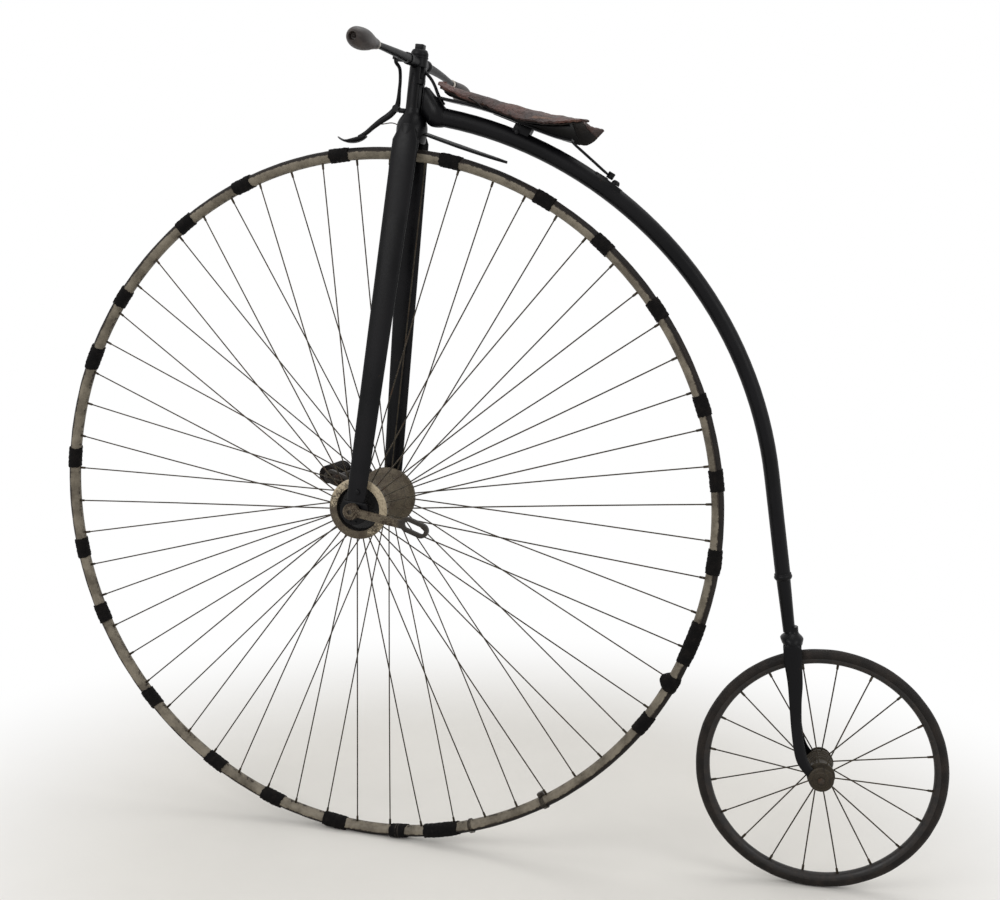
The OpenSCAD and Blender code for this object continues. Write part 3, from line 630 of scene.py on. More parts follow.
def spoke(bm, degrees, side, hub, rim, thickness, rng):
    """A spoke screwed into the hub's flange, with a bow of age and a nipple at the rim."""
    a, b = Vector(around(degrees, *hub[:1], side * hub[1])), Vector(around(
        degrees, rim[0], side * rim[1]))
    bow = Vector((rng.uniform(-1, 1), 0, rng.uniform(-1, 1))) * 0.0022 * (b - a).length
    length = (b - a).length
    radius = thickness / 2
    rows = []
    for share, r, bend in ((0, 1.25, 0), (5 / length, 1.0, 0), (0.3, 1.0, 0.8), (0.6, 1.0, 1),
                           (0.85, 1.0, 0.5), (1 - 12 / length, 1.0, 0),
                           (1 - 11.6 / length, 1.7, 0), (1 - 1 / length, 1.85, 0), (1, 1.5, 0)):
        rows.append((a.lerp(b, share) + bow * bend, r * radius))
    sweep(bm, [point / 1000 for point, _ in rows], [(r / 1000, r / 1000) for _, r in rows],
          RIGHT, 8)


def wrap(bm, degrees, width, rng, swell=0.0, inward=0.0):
    """Tape wound over rim and tyre: overlapping turns with frayed, slanting ends."""
    half = width * 0.65 * math.radians(1) * 1000 / 2
    count = max(int(half * 2 / 1.6), 4)
    shift = rng.uniform(0, 9)
    slant = rng.uniform(-0.22, 0.22)
    rings = [(-half, 0.93)] + [(blend(-half, half, i / count), 1.0) for i in range(count + 1)]
    rings.append((half, 0.93))
    start = len(bm.verts)
    skin(bm, [hoop(bm, at(0, 0, z), (0.01235 * k, 0.0134 * k), 28)
              for z, k in rings])
    bm.verts.ensure_lookup_table()
    for vert in bm.verts[start:]:
        x, y, z = vert.co * 1000
        turn = math.atan2(y, x)
        lap = ((z + slant * y * 1.5 + shift + turn * 1.45) / 9.1) % 1.0
        edge = 1 - min((half - abs(z)) / 3, 1)
        rough = noise.noise(Vector((x * 0.12, y * 0.12, z * 0.1 + degrees)))
        out = 0.15 + 0.75 * lap + 0.7 * rough + swell * (1 - (z / half) ** 2)
        if math.hypot(x / 12.35, y / 13.4) < 0.97:
            out = 0.0
        z += slant * y + edge * 2.6 * noise.noise(Vector((turn * 4, degrees, z)))
        x -= inward * (1 - (z / half) ** 2) * max(-math.cos(turn), 0)
        around_wheel = math.radians(degrees) + z / TYRE_R
        r = 648.85 + x + out * math.cos(turn)
        vert.co = mm(r * math.cos(around_wheel), y + out * math.sin(turn),
                     r * math.sin(around_wheel))


def bar_at(side, y, drop):
    """A point on the handlebar's line, in the steering frame."""
    return (BAR_X, side * y, BAR_Z - drop * (max(y - 60, 0) / 195) ** 2)


def backbone_line():
    """Points of the backbone from neck to collar, each with its share of the way."""
    x, z, slope = 98.0, 1376.0, math.radians(8.5)
    points = [(x - math.cos(slope), z + math.sin(slope), 0.0)]
    done = 0.0
    for radius, turn in ((770, 34), (745, 38)):
        for _ in range(turn // 2):
            ahead = slope + math.radians(2)
            points.append((x, z, done / 72))
            x += radius * (math.sin(ahead) - math.sin(slope))
            z -= radius * (math.cos(slope) - math.cos(ahead))
            slope, done = ahead, done + 2
    points.append((x, z, 1.0))
    return points, slope


BACKBONE, TAIL_SLOPE = backbone_line()
TAIL_LENGTH = (BACKBONE[-1][1] - 476) / math.sin(TAIL_SLOPE)


def along_tail(distance):
    return (BACKBONE[-1][0] + distance * math.cos(TAIL_SLOPE), 0,
            BACKBONE[-1][1] - distance * math.sin(TAIL_SLOPE))


def saddle_at(u, s, lift=0.0, spread=1.0):
    """A point on the leather: u from nose to tail, s from left edge to right edge."""
    half = blend(22, 96, (max(u - 0.25, 0) / 0.75) ** 1.3)
    half *= blend(0.55, 1, min(u / 0.05, 1) ** 0.5)
    top = (blend(1435, 1368, u) - 9 * math.sin(math.pi * u) * (1 - u)
           + 4 * math.sin(math.tau * u) * u)
    if s < 0:
        hang = 8 + 15 * math.sin(math.pi * min(u / 0.97, 1) ** 1.5)
    else:
        hang = blend(10, 36, u) * (1 - 0.9 * (max(u - 0.9, 0) / 0.1) ** 2)
    drop = hang * abs(s) ** 2.2 + 3 * max((u - 0.93) / 0.07, 0) ** 2 * (1 - s * s)
    back = -17 * u ** 7 * abs(s) ** 3 - 2 * u ** 8
    return (110 + 268 * u - back, half * s * spread, top - drop + lift)


# ---- Settings -----------------------------------------------------------------------------
def tone(name, description, default):
    return FloatVectorProperty(name=name, description=description, default=default,
                               subtype="COLOR", size=3, min=0, max=1)


def length(name, description, default, top):
    return FloatProperty(name=name, description=description, default=default, min=0,
                         max=top, unit="LENGTH")


class BicycleColours(bpy.types.PropertyGroup):
    enamel: tone("Enamel", "Black paint of the frame", (0.0010, 0.0010, 0.0015))
    enamel_dusty: tone("Dusty enamel", "Black paint where dust lies", (0.0036, 0.0033, 0.0042))
    rim_cream: tone("Rim cream", "Paint of the front rim", (0.190, 0.165, 0.125))
    rim_stain: tone("Rim stain", "Stained paint of the front rim", (0.072, 0.060, 0.043))
    hub_cream: tone("Hub cream", "Paint of the front hub's flanges", (0.420, 0.350, 0.240))
    rubber: tone("Tyre", "Rubber of the tyres", (0.0065, 0.0052, 0.0046))
    rubber_bloom: tone("Tyre bloom", "Weathered rubber", (0.021, 0.016, 0.013))
    tape: tone("Tape", "Bound tape on the front wheel", (0.0034, 0.0031, 0.0032))
    tape_dusty: tone("Dusty tape", "Tape where dust lies", (0.0095, 0.0080, 0.0074))
    spokes: tone("Spokes", "Steel of the spokes", (0.050, 0.041, 0.028))
    steel: tone("Bare steel", "Unpainted steel fittings", (0.070, 0.060, 0.050))
    crank: tone("Crank", "Worn skin of the cranks", (0.105, 0.086, 0.060))
    rear_hub: tone("Rear hub", "Metal of the rear hub", (0.048, 0.037, 0.023))
    leather: tone("Leather", "Dark part of the hide", (0.024, 0.0125, 0.0100))
    leather_red: tone("Red leather", "Red part of the hide", (0.072, 0.027, 0.019))
    leather_scuff: tone("Scuffed leather", "Worn part of the hide", (0.165, 0.088, 0.056))
    horn: tone("Grip", "Dark streaks of the grips", (0.0125, 0.0088, 0.0080))
    horn_pale: tone("Pale grip", "Pale streaks of the grips", (0.044, 0.034, 0.029))
    floor: tone("Floor", "Floor under the bicycle", (0.72, 0.70, 0.66))


class BicycleSizes(bpy.types.PropertyGroup):
    front_spokes: IntProperty(name="Front spokes", description="Spokes in the front wheel",
                              default=60, min=20, max=100)
    rear_spokes: IntProperty(name="Rear spokes", description="Spokes in the rear wheel",
                             default=20, min=10, max=60)
    spoke: length("Spoke thickness", "Diameter of a spoke", 0.0026, 0.005)
    crease: length("Leather waves", "Height of the waves in the saddle's leather", 0.0016, 0.005)
    wear: FloatProperty(name="Paint wear", description="How much of the black paint is knocked",
                        default=0.5, min=0, max=1, subtype="FACTOR")


def settings(context):
    return context.scene.bicycle_sizes, context.scene.bicycle_colours


def black(context):
    found = bpy.data.materials.get("black enamel")
    if found:
        return found
    sizes, colours = settings(context)
    return enamel("black enamel", colours, sizes.wear)


def rubbed_steel():
    return bpy.data.materials.get("rubbed steel") or dull_metal(
        "rubbed steel", (0.46, 0.43, 0.38), 0.85, 0.15, 0.3)


def bare_steel(context):
    return bpy.data.materials.get("bare steel") or dull_metal(
        "bare steel", tuple(settings(context)[1].steel))


# ---- Pieces -------------------------------------------------------------------------------
class BICYCLE_OT_stage(bpy.types.Operator):
    """Set out the camera, lamps, floor and pale surroundings"""
    bl_idname = "bicycle.stage"
    bl_label = "Stage"

    def execute(self, context):
        scene = context.scene
        camera = bpy.data.objects.new("camera", bpy.data.cameras.new("camera"))
        scene.collection.objects.link(camera)
        ahead = Vector((-0.195367, 0.970571, -0.140796))
        up = Vector((-0.058038, 0.131869, 0.989567))
        camera.matrix_world = basis(ahead.cross(up), up, -ahead, (0.45262, -2.3328, -0.28117))
        camera.data.lens, camera.data.sensor_width = 46.778, 36
        camera.data.clip_start, camera.data.clip_end = 0.05, 60
        scene.camera = camera
        for name, place, size, power in (
                ("key lamp", (-1.9, -3.0, 1.6), 2.2, 62), ("side lamp", (2.9, -1.7, 0.8), 1.6, 22),
                ("top lamp", (0.3, 0.6, 2.6), 2.6, 44)):
            lamp = bpy.data.objects.new(name, bpy.data.lights.new(name, "AREA"))
            lamp.data.size, lamp.data.energy = size, power
            aim = Vector((0.1, 0, -0.6)) - Vector(place)
            lamp.matrix_world = (Matrix.Translation(place)
                                 @ aim.to_track_quat("-Z", "Y").to_matrix().to_4x4())
            scene.collection.objects.link(lamp)
        bm = bmesh.new()
        bmesh.ops.create_circle(bm, cap_ends=True, segments=96, radius=14,
                                matrix=Matrix.Translation((0, 0, GROUND_Z)))
        mesh = bpy.data.meshes.new("floor")
        bm.to_mesh(mesh)
        bm.free()
        floor = bpy.data.objects.new("floor", mesh)
        scene.collection.objects.link(floor)
        f = Finish("pale floor")
        mottle = f.noise(3.5, 5, 0.6)
        tint = tuple(settings(context)[1].floor)
        f.done(base_color=f.mix(f.step(mottle, 0.3, 0.7), tint, tuple(0.97 * c for c in tint)),
               roughness=mottle * 0.1 + 0.8, specular_ior_level=0.1)
        x, y, _ = f.parts()
        far = x * x + y * y
        away = f.step(far.sum("SQRT", far), 0.55, 1.5)
        white = f.node("ShaderNodeEmission", inputs={"Color": (1, 1, 1), "Strength": 1.0})
        glow = f.node("ShaderNodeMixShader", inputs={
            0: away * f.seen("Is Camera Ray", "Is Glossy Ray"),
            1: Value(f, f.shader.outputs[0]), 2: white})
        f.feed(f.tree.nodes["Material Output"].inputs["Surface"], glow)
        mesh.materials.append(f.material)
        world = bpy.data.worlds.new("surroundings")
        scene.world = world
        world.use_nodes = True
        air = Graph(world.node_tree)
        seen = air.seen("Is Camera Ray", "Is Glossy Ray", "Is Transmission Ray")
        sky = air.tree.nodes["Background"]
        air.feed(sky.inputs["Color"], (1, 1, 1))
        air.feed(sky.inputs["Strength"], air.node("ShaderNodeMapRange", inputs={
            "Value": seen, "To Min": 0.62, "To Max": 1.0}))
        scene.view_settings.view_transform = "Standard"
        return {"FINISHED"}


class BICYCLE_OT_tyres(bpy.types.Operator):
    """Turn the tyres and the rims that hold them"""
    bl_idname = "bicycle.tyres"
    bl_label = "Tyres and rims"

    def execute(self, context):
        _, colours = settings(context)
        for body, place, tyre, rim, steps in (
                ("front_wheel", HEAD, (TYRE_R, 10), (TYRE_R, 12.5, TYRE_R, 9.7, 652), 288),
                ("rear_wheel", REAR, (213, 11), (208.5, 10.5, 213, 9.5, 209), 176)):
            end = body.split("_")[0]
            bm = bmesh.new()
            turned(bm, section(*tyre, 0, 360, 24)[:-1], steps, ACROSS, closed=True)
            roughen(bm, 0.5, 38)
            finished(f"{end}_tyre_round", bm, place, body, "tyre",
                     tyre_rubber(f"{end} tyre", place, colours), (f"{end}_tyre",))
            bm = bmesh.new()
            turned(bm, rim_section(*rim), steps, ACROSS, closed=True)
            finish = rim_cream("rim cream", colours) if end == "front" else rim_brown(
                "rim brown", place)
            finished(f"{end}_rim_hollow", bm, place, body,
                     "rim_paint" if end == "front" else "dark_rim_paint", finish,
                     (f"{end}_rim",), crease=50)
        return {"FINISHED"}


class BICYCLE_OT_wraps(bpy.types.Operator):
    """Bind the tape, wire and clamp that hold the front tyre on"""
    bl_idname = "bicycle.wraps"
    bl_label = "Tape and wire bindings"

    def execute(self, context):
        rng = Random(11)
        bm = bmesh.new()
        for degrees, width in (
                (7.9, 3.5), (19.8, 3.5), (36.2, 3.5), (49.5, 3.4), (61.2, 3.5), (77.8, 3.6),
                (97.1, 3.5), (115.0, 3.5), (127.8, 3.4), (145.5, 3.5), (157.6, 4.3),
                (176.2, 3.6), (192.8, 3.6), (205.2, 3.5), (223.1, 3.6), (239.5, 4.0),
                (251.8, 4.2), (264.0, 4.5), (276.0, 3.0), (283.8, 6.5), (325.5, 3.7),
                (341.2, 7.7), (355.0, 4.2)):
            wrap(bm, degrees + WRAP_TURN, width * 0.94, rng, swell=0.8 if width > 4 else 0.2)
        wrap(bm, 333.8 + WRAP_TURN, 2.6, rng, swell=1.5, inward=9.0)
        finished("tape_bindings", bm, HEAD, "front_wheel", "tyre",
                 black_tape("black tape", settings(context)[1]), crease=70)
        bm = bmesh.new()
        for degrees, turns, gap in ((289.3, 3, 2.2), (303.2, 4, 2.0), (276.0, 2, 5.0)):
            for turn in range(turns):
                a = math.radians(degrees + WRAP_TURN) + (turn - turns / 2) * gap / TYRE_R
                points = []
                for i in range(25):
                    t = math.tau * i / 24
                    r = 648.9 + 13.0 * math.cos(t)
                    b = a + 0.0012 * math.sin(t + turn)
                    points.append(mm(r * math.cos(b), 13.6 * math.sin(t), r * math.sin(b)))
                sweep(bm, points, [(0.0008, 0.0008)] * 25, Vector((-math.sin(a), 0, math.cos(a))),
                      8, capped=False)
        clamp = math.radians(303.2 + WRAP_TURN)
        lug = basis((math.cos(clamp), 0, math.sin(clamp)), (0, 1, 0),
                    (math.sin(clamp), 0, -math.cos(clamp)), mm(*around(303.2 + WRAP_TURN, 634)))
        block(bm, (9, 11, 12), lug, 1.5)
        prism(bm, 3.4, 16, 6, lug @ Matrix.Rotation(math.radians(90), 4, "X")
              @ at(0, 0, -8))
        finished("wire_bindings", bm, HEAD, "front_wheel", "worn_steel", bare_steel(context))
        return {"FINISHED"}


class BICYCLE_OT_spokes(bpy.types.Operator):
    """Screw the spokes into the hubs and the rims"""
    bl_idname = "bicycle.spokes"
    bl_label = "Spokes"

    def execute(self, context):
        sizes, colours = settings(context)
        metal = dull_metal("spoke steel", tuple(colours.spokes), 0.6, 0.55, 0.40)
        for body, place, count, first, hub, rim in (
                ("front_wheel", HEAD, sizes.front_spokes, 3.2, (52, 75), (639.5, 2)),
                ("rear_wheel", REAR, sizes.rear_spokes, 12.5, (21, 32), (200.5, 2))):
            rng = Random(5)
            bm = bmesh.new()
            for k in range(count):
                spoke(bm, first + 360 * k / count, 1 if k % 2 == 0 else -1, hub, rim,
                      sizes.spoke * 1000, rng)
            end = body.split("_")[0]
            finished(f"{end}_spokes_screwed", bm, place, body, "worn_steel", metal,
                     (f"{end}_spokes",), crease=60)
        return {"FINISHED"}


class BICYCLE_OT_front_hub(bpy.types.Operator):
    """Turn the front hub with its two dished flanges, and its axle"""
    bl_idname = "bicycle.front_hub"
    bl_label = "Front hub"

    def execute(self, context):
        half = [(8.4, 62.5), (30, 62.5), (39, 63.5), (41, 66), (41, 77.2), (42.2, 79),
                (45, 79.3), (54.5, 79), (56.6, 77.8), (57, 75), (56.6, 72), (54.5, 71),
                (48, 70.4), (45.5, 68.5), (43, 64), (32, 53), (25, 44), (22.4, 39), (22, 30),
                (23.6, 28), (23.6, 24), (22, 22), (22, 0)]
        profile = half + [(r, -h) for r, h in reversed(half[:-1])]
        bm = bmesh.new()
        turned(bm, profile, 96, ACROSS, closed=True)
        finished("front_hub_turned", bm, HEAD, "front_wheel", "worn_brass",
                 hub_paint("hub paint", settings(context)[1]), ("front_hub",), crease=40)
        bm = bmesh.new()
        turned(bm, [(0, -116.8), (4, -117.2), (7, -116.6), (8, -115.4), (8, 115.4), (7, 116.6),
                    (4, 117.2), (0, 116.8)], 40, ACROSS)
        for side in (-1, 1):
            turned(bm, [(8, side * 80.5), (13, side * 80.5), (13.5, side * 82), (13, side * 86),
                        (8, side * 87.5)], 40, ACROSS)
        finished("front_axle_turned", bm, HEAD, "front_wheel", "worn_steel",
                 bare_steel(context), ("front_axle",))
        return {"FINISHED"}


class BICYCLE_OT_cranks(bpy.types.Operator):
    """Fit the slotted cranks, each with its nut"""
    bl_idname = "bicycle.cranks"
    bl_label = "Cranks"

    def execute(self, context):
        metal = crank_metal("crank metal", settings(context)[1])
        for side, name in ((-1, "left"), (1, "right")):
            def nut(bm):
                place = HEAD @ outward(side)
                turned(bm, [(8.4, 114.6), (13.6, 114.8), (14.2, 115.6), (13.6, 116.4),
                            (8.4, 116.6)], 40, place)
                turned(bm, [(4.6, 116.4), (9.2, 116.5), (10.2, 117.6), (8.4, 118.9),
                            (4.6, 119.1)], 6, place)
            refined(f"crank_{name}_worn", f"crank_{name}", "front_wheel", "worn_brass", metal,
                    1.6, nut)
        return {"FINISHED"}


class BICYCLE_OT_pedal(bpy.types.Operator):
    """Build the pedal: two ribbed rubbers between plates on a spindle"""
    bl_idname = "bicycle.pedal"
    bl_label = "Pedal"

    def execute(self, context):
        place = HEAD @ at(*around(176, CRANK_R)) @ ACROSS
        lobe = 18.6
        bm = bmesh.new()
        for side in (-1, 1):
            ribs = [(0, 125.5), (lobe - 4, 125.5), (lobe - 0.6, 127.4)]
            for i in range(9):
                low = 129 + 9.1 * i
                ribs += [(lobe, low), (lobe, low + 5.8), (lobe - 1.6, low + 6.6),
                         (lobe - 1.6, low + 8.3)]
            ribs += [(lobe - 0.6, 209.6), (lobe - 4, 211.2), (0, 211.2)]
            turned(bm, ribs, 32, at(side * 25 - 3, side * 2, 0))
            for end in (125.6 - 8, 211.3 + 4.4):
                prism(bm, 4.2, 3.6, 6, at(side * 22, 0, end), 0.6)
        roughen(bm, 0.5, 60)
        finished("pedal_rubbers_ribbed", bm, place, "pedal", "rubber",
                 pedal_rubber("pedal rubber"), ("pedal_rubbers",))
        metal = dull_metal("pedal metal", (0.016, 0.012, 0.010), 0.2, 0.8, 0.5)
        refined("pedal_plates", "pedal_frame", "pedal", "worn_steel", metal, 0.8)
        refined("pedal_spindle_turned", "pedal_spindle", "front_wheel", "worn_steel", metal, 0.8)
        return {"FINISHED"}


class BICYCLE_OT_head(bpy.types.Operator):
    """Fit the steering head, its cap and square nut, and the brake's lug"""
    bl_idname = "bicycle.head"
    bl_label = "Steering head"

    def execute(self, context):
        paint = black(context)

        def bands(bm):
            for low, r in ((706.3, 16.6), (818.5, 16.3)):
                turned(bm, [(15.2, low), (r, low + 0.6), (r, low + 3.2), (15.2, low + 3.8)], 64,
                       HEAD)
            turned(bm, [(8, 40), (9.8, 41.4), (11.4, 44.6), (11.9, 48), (11.4, 51.4), (9.8, 54.6),
                        (8, 56)], 40, HEAD @ at(BAR_X, 0, BAR_Z) @ ACROSS)
        refined("steering_head_tube", "steering_head", "steering", "black_paint", paint, 0.6,
                bands)
        bm = bmesh.new()
        turned(bm, [(0, 823.2), (15.6, 823.2), (16, 824.4), (15.8, 828), (13.8, 832.4),
                    (12.4, 833.8), (0, 834.2)], 64)
        block(bm, (16, 16, 10.6), at(0, 0, 838.2), 1.6)
        finished("head_cap_nut", bm, HEAD, "steering", "black_paint", paint, ("head_cap",))
        refined("brake_lug_forged", "brake_lug", "steering", "worn_steel", paint, 1.2)
        refined("brake_pivot_pin", "brake_pivot", "steering", "black_paint", paint, 0.8)
        return {"FINISHED"}


class BICYCLE_OT_fork(bpy.types.Operator):
    """Build the front fork: crown, hollow blades and the bearings at their feet"""
    bl_idname = "bicycle.fork"
    bl_label = "Front fork"

    def execute(self, context):
        paint = black(context)
        bm = bmesh.new()
        loft(bm, [(0, 0, z, a, b) for z, a, b in flow([
                      (731, 15.4, 15.4), (728, 15.9, 15.9), (723, 16.8, 16.6), (718, 19.4, 18.6),
                      (712, 23.4, 22.4), (705, 26.4, 26.8), (698, 27.8, 30.0), (690, 27.8, 32.0),
                      (681, 27.0, 33.0), (674, 26.2, 33.2), (670, 25.4, 32.4),
                      (668.6, 22.5, 29.0)], 3)], 64)
        finished("fork_crown_forged", bm, HEAD, "steering", "black_paint", paint,
                 ("fork_crown",))
        for side, name in ((-1, "left"), (1, "right")):
            bm = bmesh.new()
            rows = []
            for i in range(25):
                u = i / 24
                foot = min(u / 0.035, 1) ** 0.5
                top = max((u - 0.955) / 0.045, 0) ** 2
                rows.append((0, side * blend(95.6, 23.6, u), blend(-2, 701, u),
                             blend(18, 25.6, u) * blend(0.72, 1, foot) * (1 - 0.72 * top) ** 0.5,
                             8.5 * blend(0.7, 1, u) * blend(0.7, 1, foot)
                             * (1 - 0.6 * top) ** 0.5))
            loft(bm, rows, 40)
            prism(bm, 5.2, 8.4, 6, at(3.5, side * 93.5, 35) @ outward(side), 0.8)
            finished(f"fork_blade_{name}_hollow", bm, HEAD, "steering", "black_paint", paint,
                     (f"fork_blade_{name}",))

            def bolts(bm, side=side):
                for x, z in ((-5, -20.5), (6, -20.5)):
                    prism(bm, 2.4, 2.2, 6, HEAD @ at(x, side * 99.3, z) @ outward(side), 0.5)
            refined(f"bearing_{name}_housing", f"bearing_{name}", "steering", "black_paint",
                    paint, 2.0, bolts)
        return {"FINISHED"}


class BICYCLE_OT_handlebar(bpy.types.Operator):
    """Draw the handlebar and turn its horn grips"""
    bl_idname = "bicycle.handlebar"
    bl_label = "Handlebar and grips"

    def execute(self, context):
        horn = grip_horn("grip horn", settings(context)[1])
        bm = bmesh.new()
        for side, drop in ((-1, 4), (1, 16)):
            rows = []
            for i in range(17):
                y = blend(24, 218, i / 16)
                r = 5.8 + 3.9 * max(1 - (y - 24) / 165, 0) ** 1.3
                rows.append((*bar_at(side, y, drop), r, r))
            tube(bm, rows, Vector((0, 0, 1)), 24)
        finished("handlebar_drawn", bm, HEAD, "steering", "worn_steel", black(context),
                 ("handlebar",))
        for side, name, drop in ((-1, "left", 4), (1, "right", 16)):
            start = mm(*bar_at(side, 206, drop))
            along = (mm(*bar_at(side, 303, drop)) - start).normalized()
            place = basis(Vector((1, 0, 0)), along.cross(Vector((1, 0, 0))), along, start)
            outside = flow([(7.6, 0.4), (8.4, 0.2), (8.9, 2), (9.4, 6), (11.8, 20), (15.6, 39),
                            (17.8, 58), (17.2, 77), (14.4, 89), (11, 95), (8.4, 97.4)], 4)
            eye = [(7.0, 97.8), (6.2, 96.8), (5.6, 94.0), (4.6, 91.0), (3.0, 90.4), (2.0, 92.0),
                   (0, 92.6)]
            bm = bmesh.new()
            turned(bm, [(5.6, -7), (7.2, -6.6), (8.2, -5.4), (8.4, -3.6), (8.0, -1.4), (7.4, -0.2),
                        (5.6, 0)], 40, place)
            finished(f"grip_{name}_ferrule", bm, HEAD, "steering", "worn_steel",
                     rubbed_steel())
            bm = bmesh.new()
            turned(bm, [(6.2, 1.2)] + outside + eye, 56, place)
            roughen(bm, 0.5, 45)
            finished(f"grip_{name}_turned", bm, HEAD, "steering", "horn", horn,
                     (f"grip_{name}",), crease=45)
        return {"FINISHED"}


class BICYCLE_OT_brake(bpy.types.Operator):
    """Bend the brake lever and its spoon, and the thin spring behind them"""
    bl_idname = "bicycle.brake"
    bl_label = "Brake"

    def execute(self, context):
        paint = black(context)
        bm = bmesh.new()
        swept(bm, [(-21, -62, 812, 3.2, 3.2), (-22, -56, 802, 3.6, 3.2),
                   (-21.5, -36, 794, 3.4, 3), (-24.5, -20, 776, 3.2, 3),
                   (-28, -10, 758, 3.4, 3.3), (-31, -2, 741, 4, 4.4), (-34, 0, 730, 4.6, 5.6),
                   (-45, 0, 716, 4.8, 6.1), (-62, 0, 703, 4.7, 5.5), (-76, 0, 691, 4.6, 4.6),
                   (-87, 0, 680.5, 5, 4.2), (-96, 0, 674, 6, 3.8), (-101, 0, 671.6, 6.8, 3.2)],
              4, RIGHT, 20)
        rod(bm, (-22, -62, 806), (-22, -62, 818), 4.6, 20)
        rod(bm, (-34, -6.2, 728), (-34, 6.2, 728), 6.2, 24)
        finished("brake_lever_forged", bm, HEAD, "steering", "black_paint", paint,
                 ("brake_lever",))
        bm = bmesh.new()
        spoon = flow([(-88, 674.5, 6, 3.4), (-96, 669.6, 8.5, 4.8), (-105, 665.9, 12, 5.2),
                      (-114, 663.2, 14.2, 4.4), (-122, 661.8, 14.6, 3.2), (-130, 662.4, 13, 2.1),
                      (-137, 664.8, 9.5, 1.5), (-142, 667.6, 4, 1.0)], 4)
        tube(bm, [(x, 0, z, a, b) for x, z, a, b in spoon], RIGHT, 20)
        finished("brake_spoon_bent", bm, HEAD, "steering", "black_paint", paint,
                 ("brake_spoon",))
        bm = bmesh.new()
        swept(bm, [(-60, 0, 697.6, 1, 1), (-52, 0, 699.4, 1, 1), (-42, 0, 701.6, 1, 1),
                   (-34, 0, 701, 1, 1), (-26, 0, 698.6, 1, 1)], 4, RIGHT, 10)
        finished("brake_spring_wire", bm, HEAD, "steering", "worn_steel", bare_steel(context),
                 ("brake_spring",))
        return {"FINISHED"}


class BICYCLE_OT_guard(bpy.types.Operator):
    """Beat out the thin pointed strip behind the crown"""
    bl_idname = "bicycle.guard"
    bl_label = "Guard strip"

    def execute(self, context):
        bm = bmesh.new()
        rows = []
        for i in range(29):
            x = blend(23.6, 186, i / 28)
            leaf = 1 if i < 12 else blend(1, 0.62, (i - 12) / 10) if i < 22 else blend(
                0.62, 0.10, ((i - 22) / 6) ** 1.6)
            rows.append((x, 0, 694.5 - 0.255 * x + 0.00015 * x * x, 9 * leaf,
                         1.6 + 0.7 * min(i / 20, 1)))
        tube(bm, rows, Vector((0, 1, 0.26)), 4)
        strip = finished("guard_strip_beaten", bm, HEAD, "steering", "black_paint",
                         black(context), ("guard_strip",), crease=50, bevel=0.5)
        cutter = bmesh.new()
        bmesh.ops.create_cone(cutter, cap_ends=True, segments=24, radius1=0.0022, radius2=0.0022,
                              depth=0.03, matrix=HEAD @ at(168, 0, 657))
        carve(strip, cutter)
        return {"FINISHED"}


class BICYCLE_OT_neck(bpy.types.Operator):
    """Fit the neck that carries the backbone on the steering spindle"""
    bl_idname = "bicycle.neck"
    bl_label = "Neck"

    def execute(self, context):
        paint = black(context)
        bm = bmesh.new()
        skin(bm, [hoop(bm, basis(RIGHT, STEER, RIGHT.cross(STEER), mm(x, 0, z)),
                       (a / 1000, b / 1000), 40)
                  for x, z, a, b in flow([
                      (81.2, 1400, 7.5, 24), (82.2, 1400, 9.5, 26.8), (86, 1397, 11.5, 28.4),
                      (92, 1391, 14.5, 30), (98.5, 1385, 17.6, 28.6), (105, 1381, 19.4, 26.2),
                      (110, 1378.4, 20, 24), (115, 1375.2, 19.4, 20.8),
                      (119, 1373.4, 18.4, 18.6), (121, 1372.8, 17.2, 17.4)], 3)])
        bm.transform(NECK.inverted() @ BIKE)
        block(bm, (17, 8, 51), at(17.5, 0, 743.5), 1)
        fill = [(15 * math.cos(math.radians(a)), 15 * math.sin(math.radians(a)))
                for a in range(-31, 32, 6)] + [(8, 7.7), (8, -7.7)]
        for low, top in ((714, 773.4), (782.6, 803.4)):
            plate(bm, fill, top - low, at(0, 0, (low + top) / 2), 0.6)
        turned(bm, [(7.6, 713), (10.3, 713), (10.3, 804), (7.6, 804)], 40, closed=True)
        swept(bm, [(10, 0, 799.5, 3.1, 3.1), (17, 0, 793.5, 3, 3), (26, 0, 785, 2.9, 2.9),
                   (34, 0, 774, 2.9, 2.9), (40, 0, 762.5, 3, 3), (46, 0, 752, 3.4, 3.4),
                   (54, 0, 742, 4, 4)], 4, RIGHT, 16)
        finished("steering_neck_forged", bm, NECK, "frame", "black_paint", paint,
                 ("steering_neck",))
        refined("neck_spindle_turned", "neck_spindle", "frame", "worn_steel",
                bare_steel(context), 0.8)
        return {"FINISHED"}


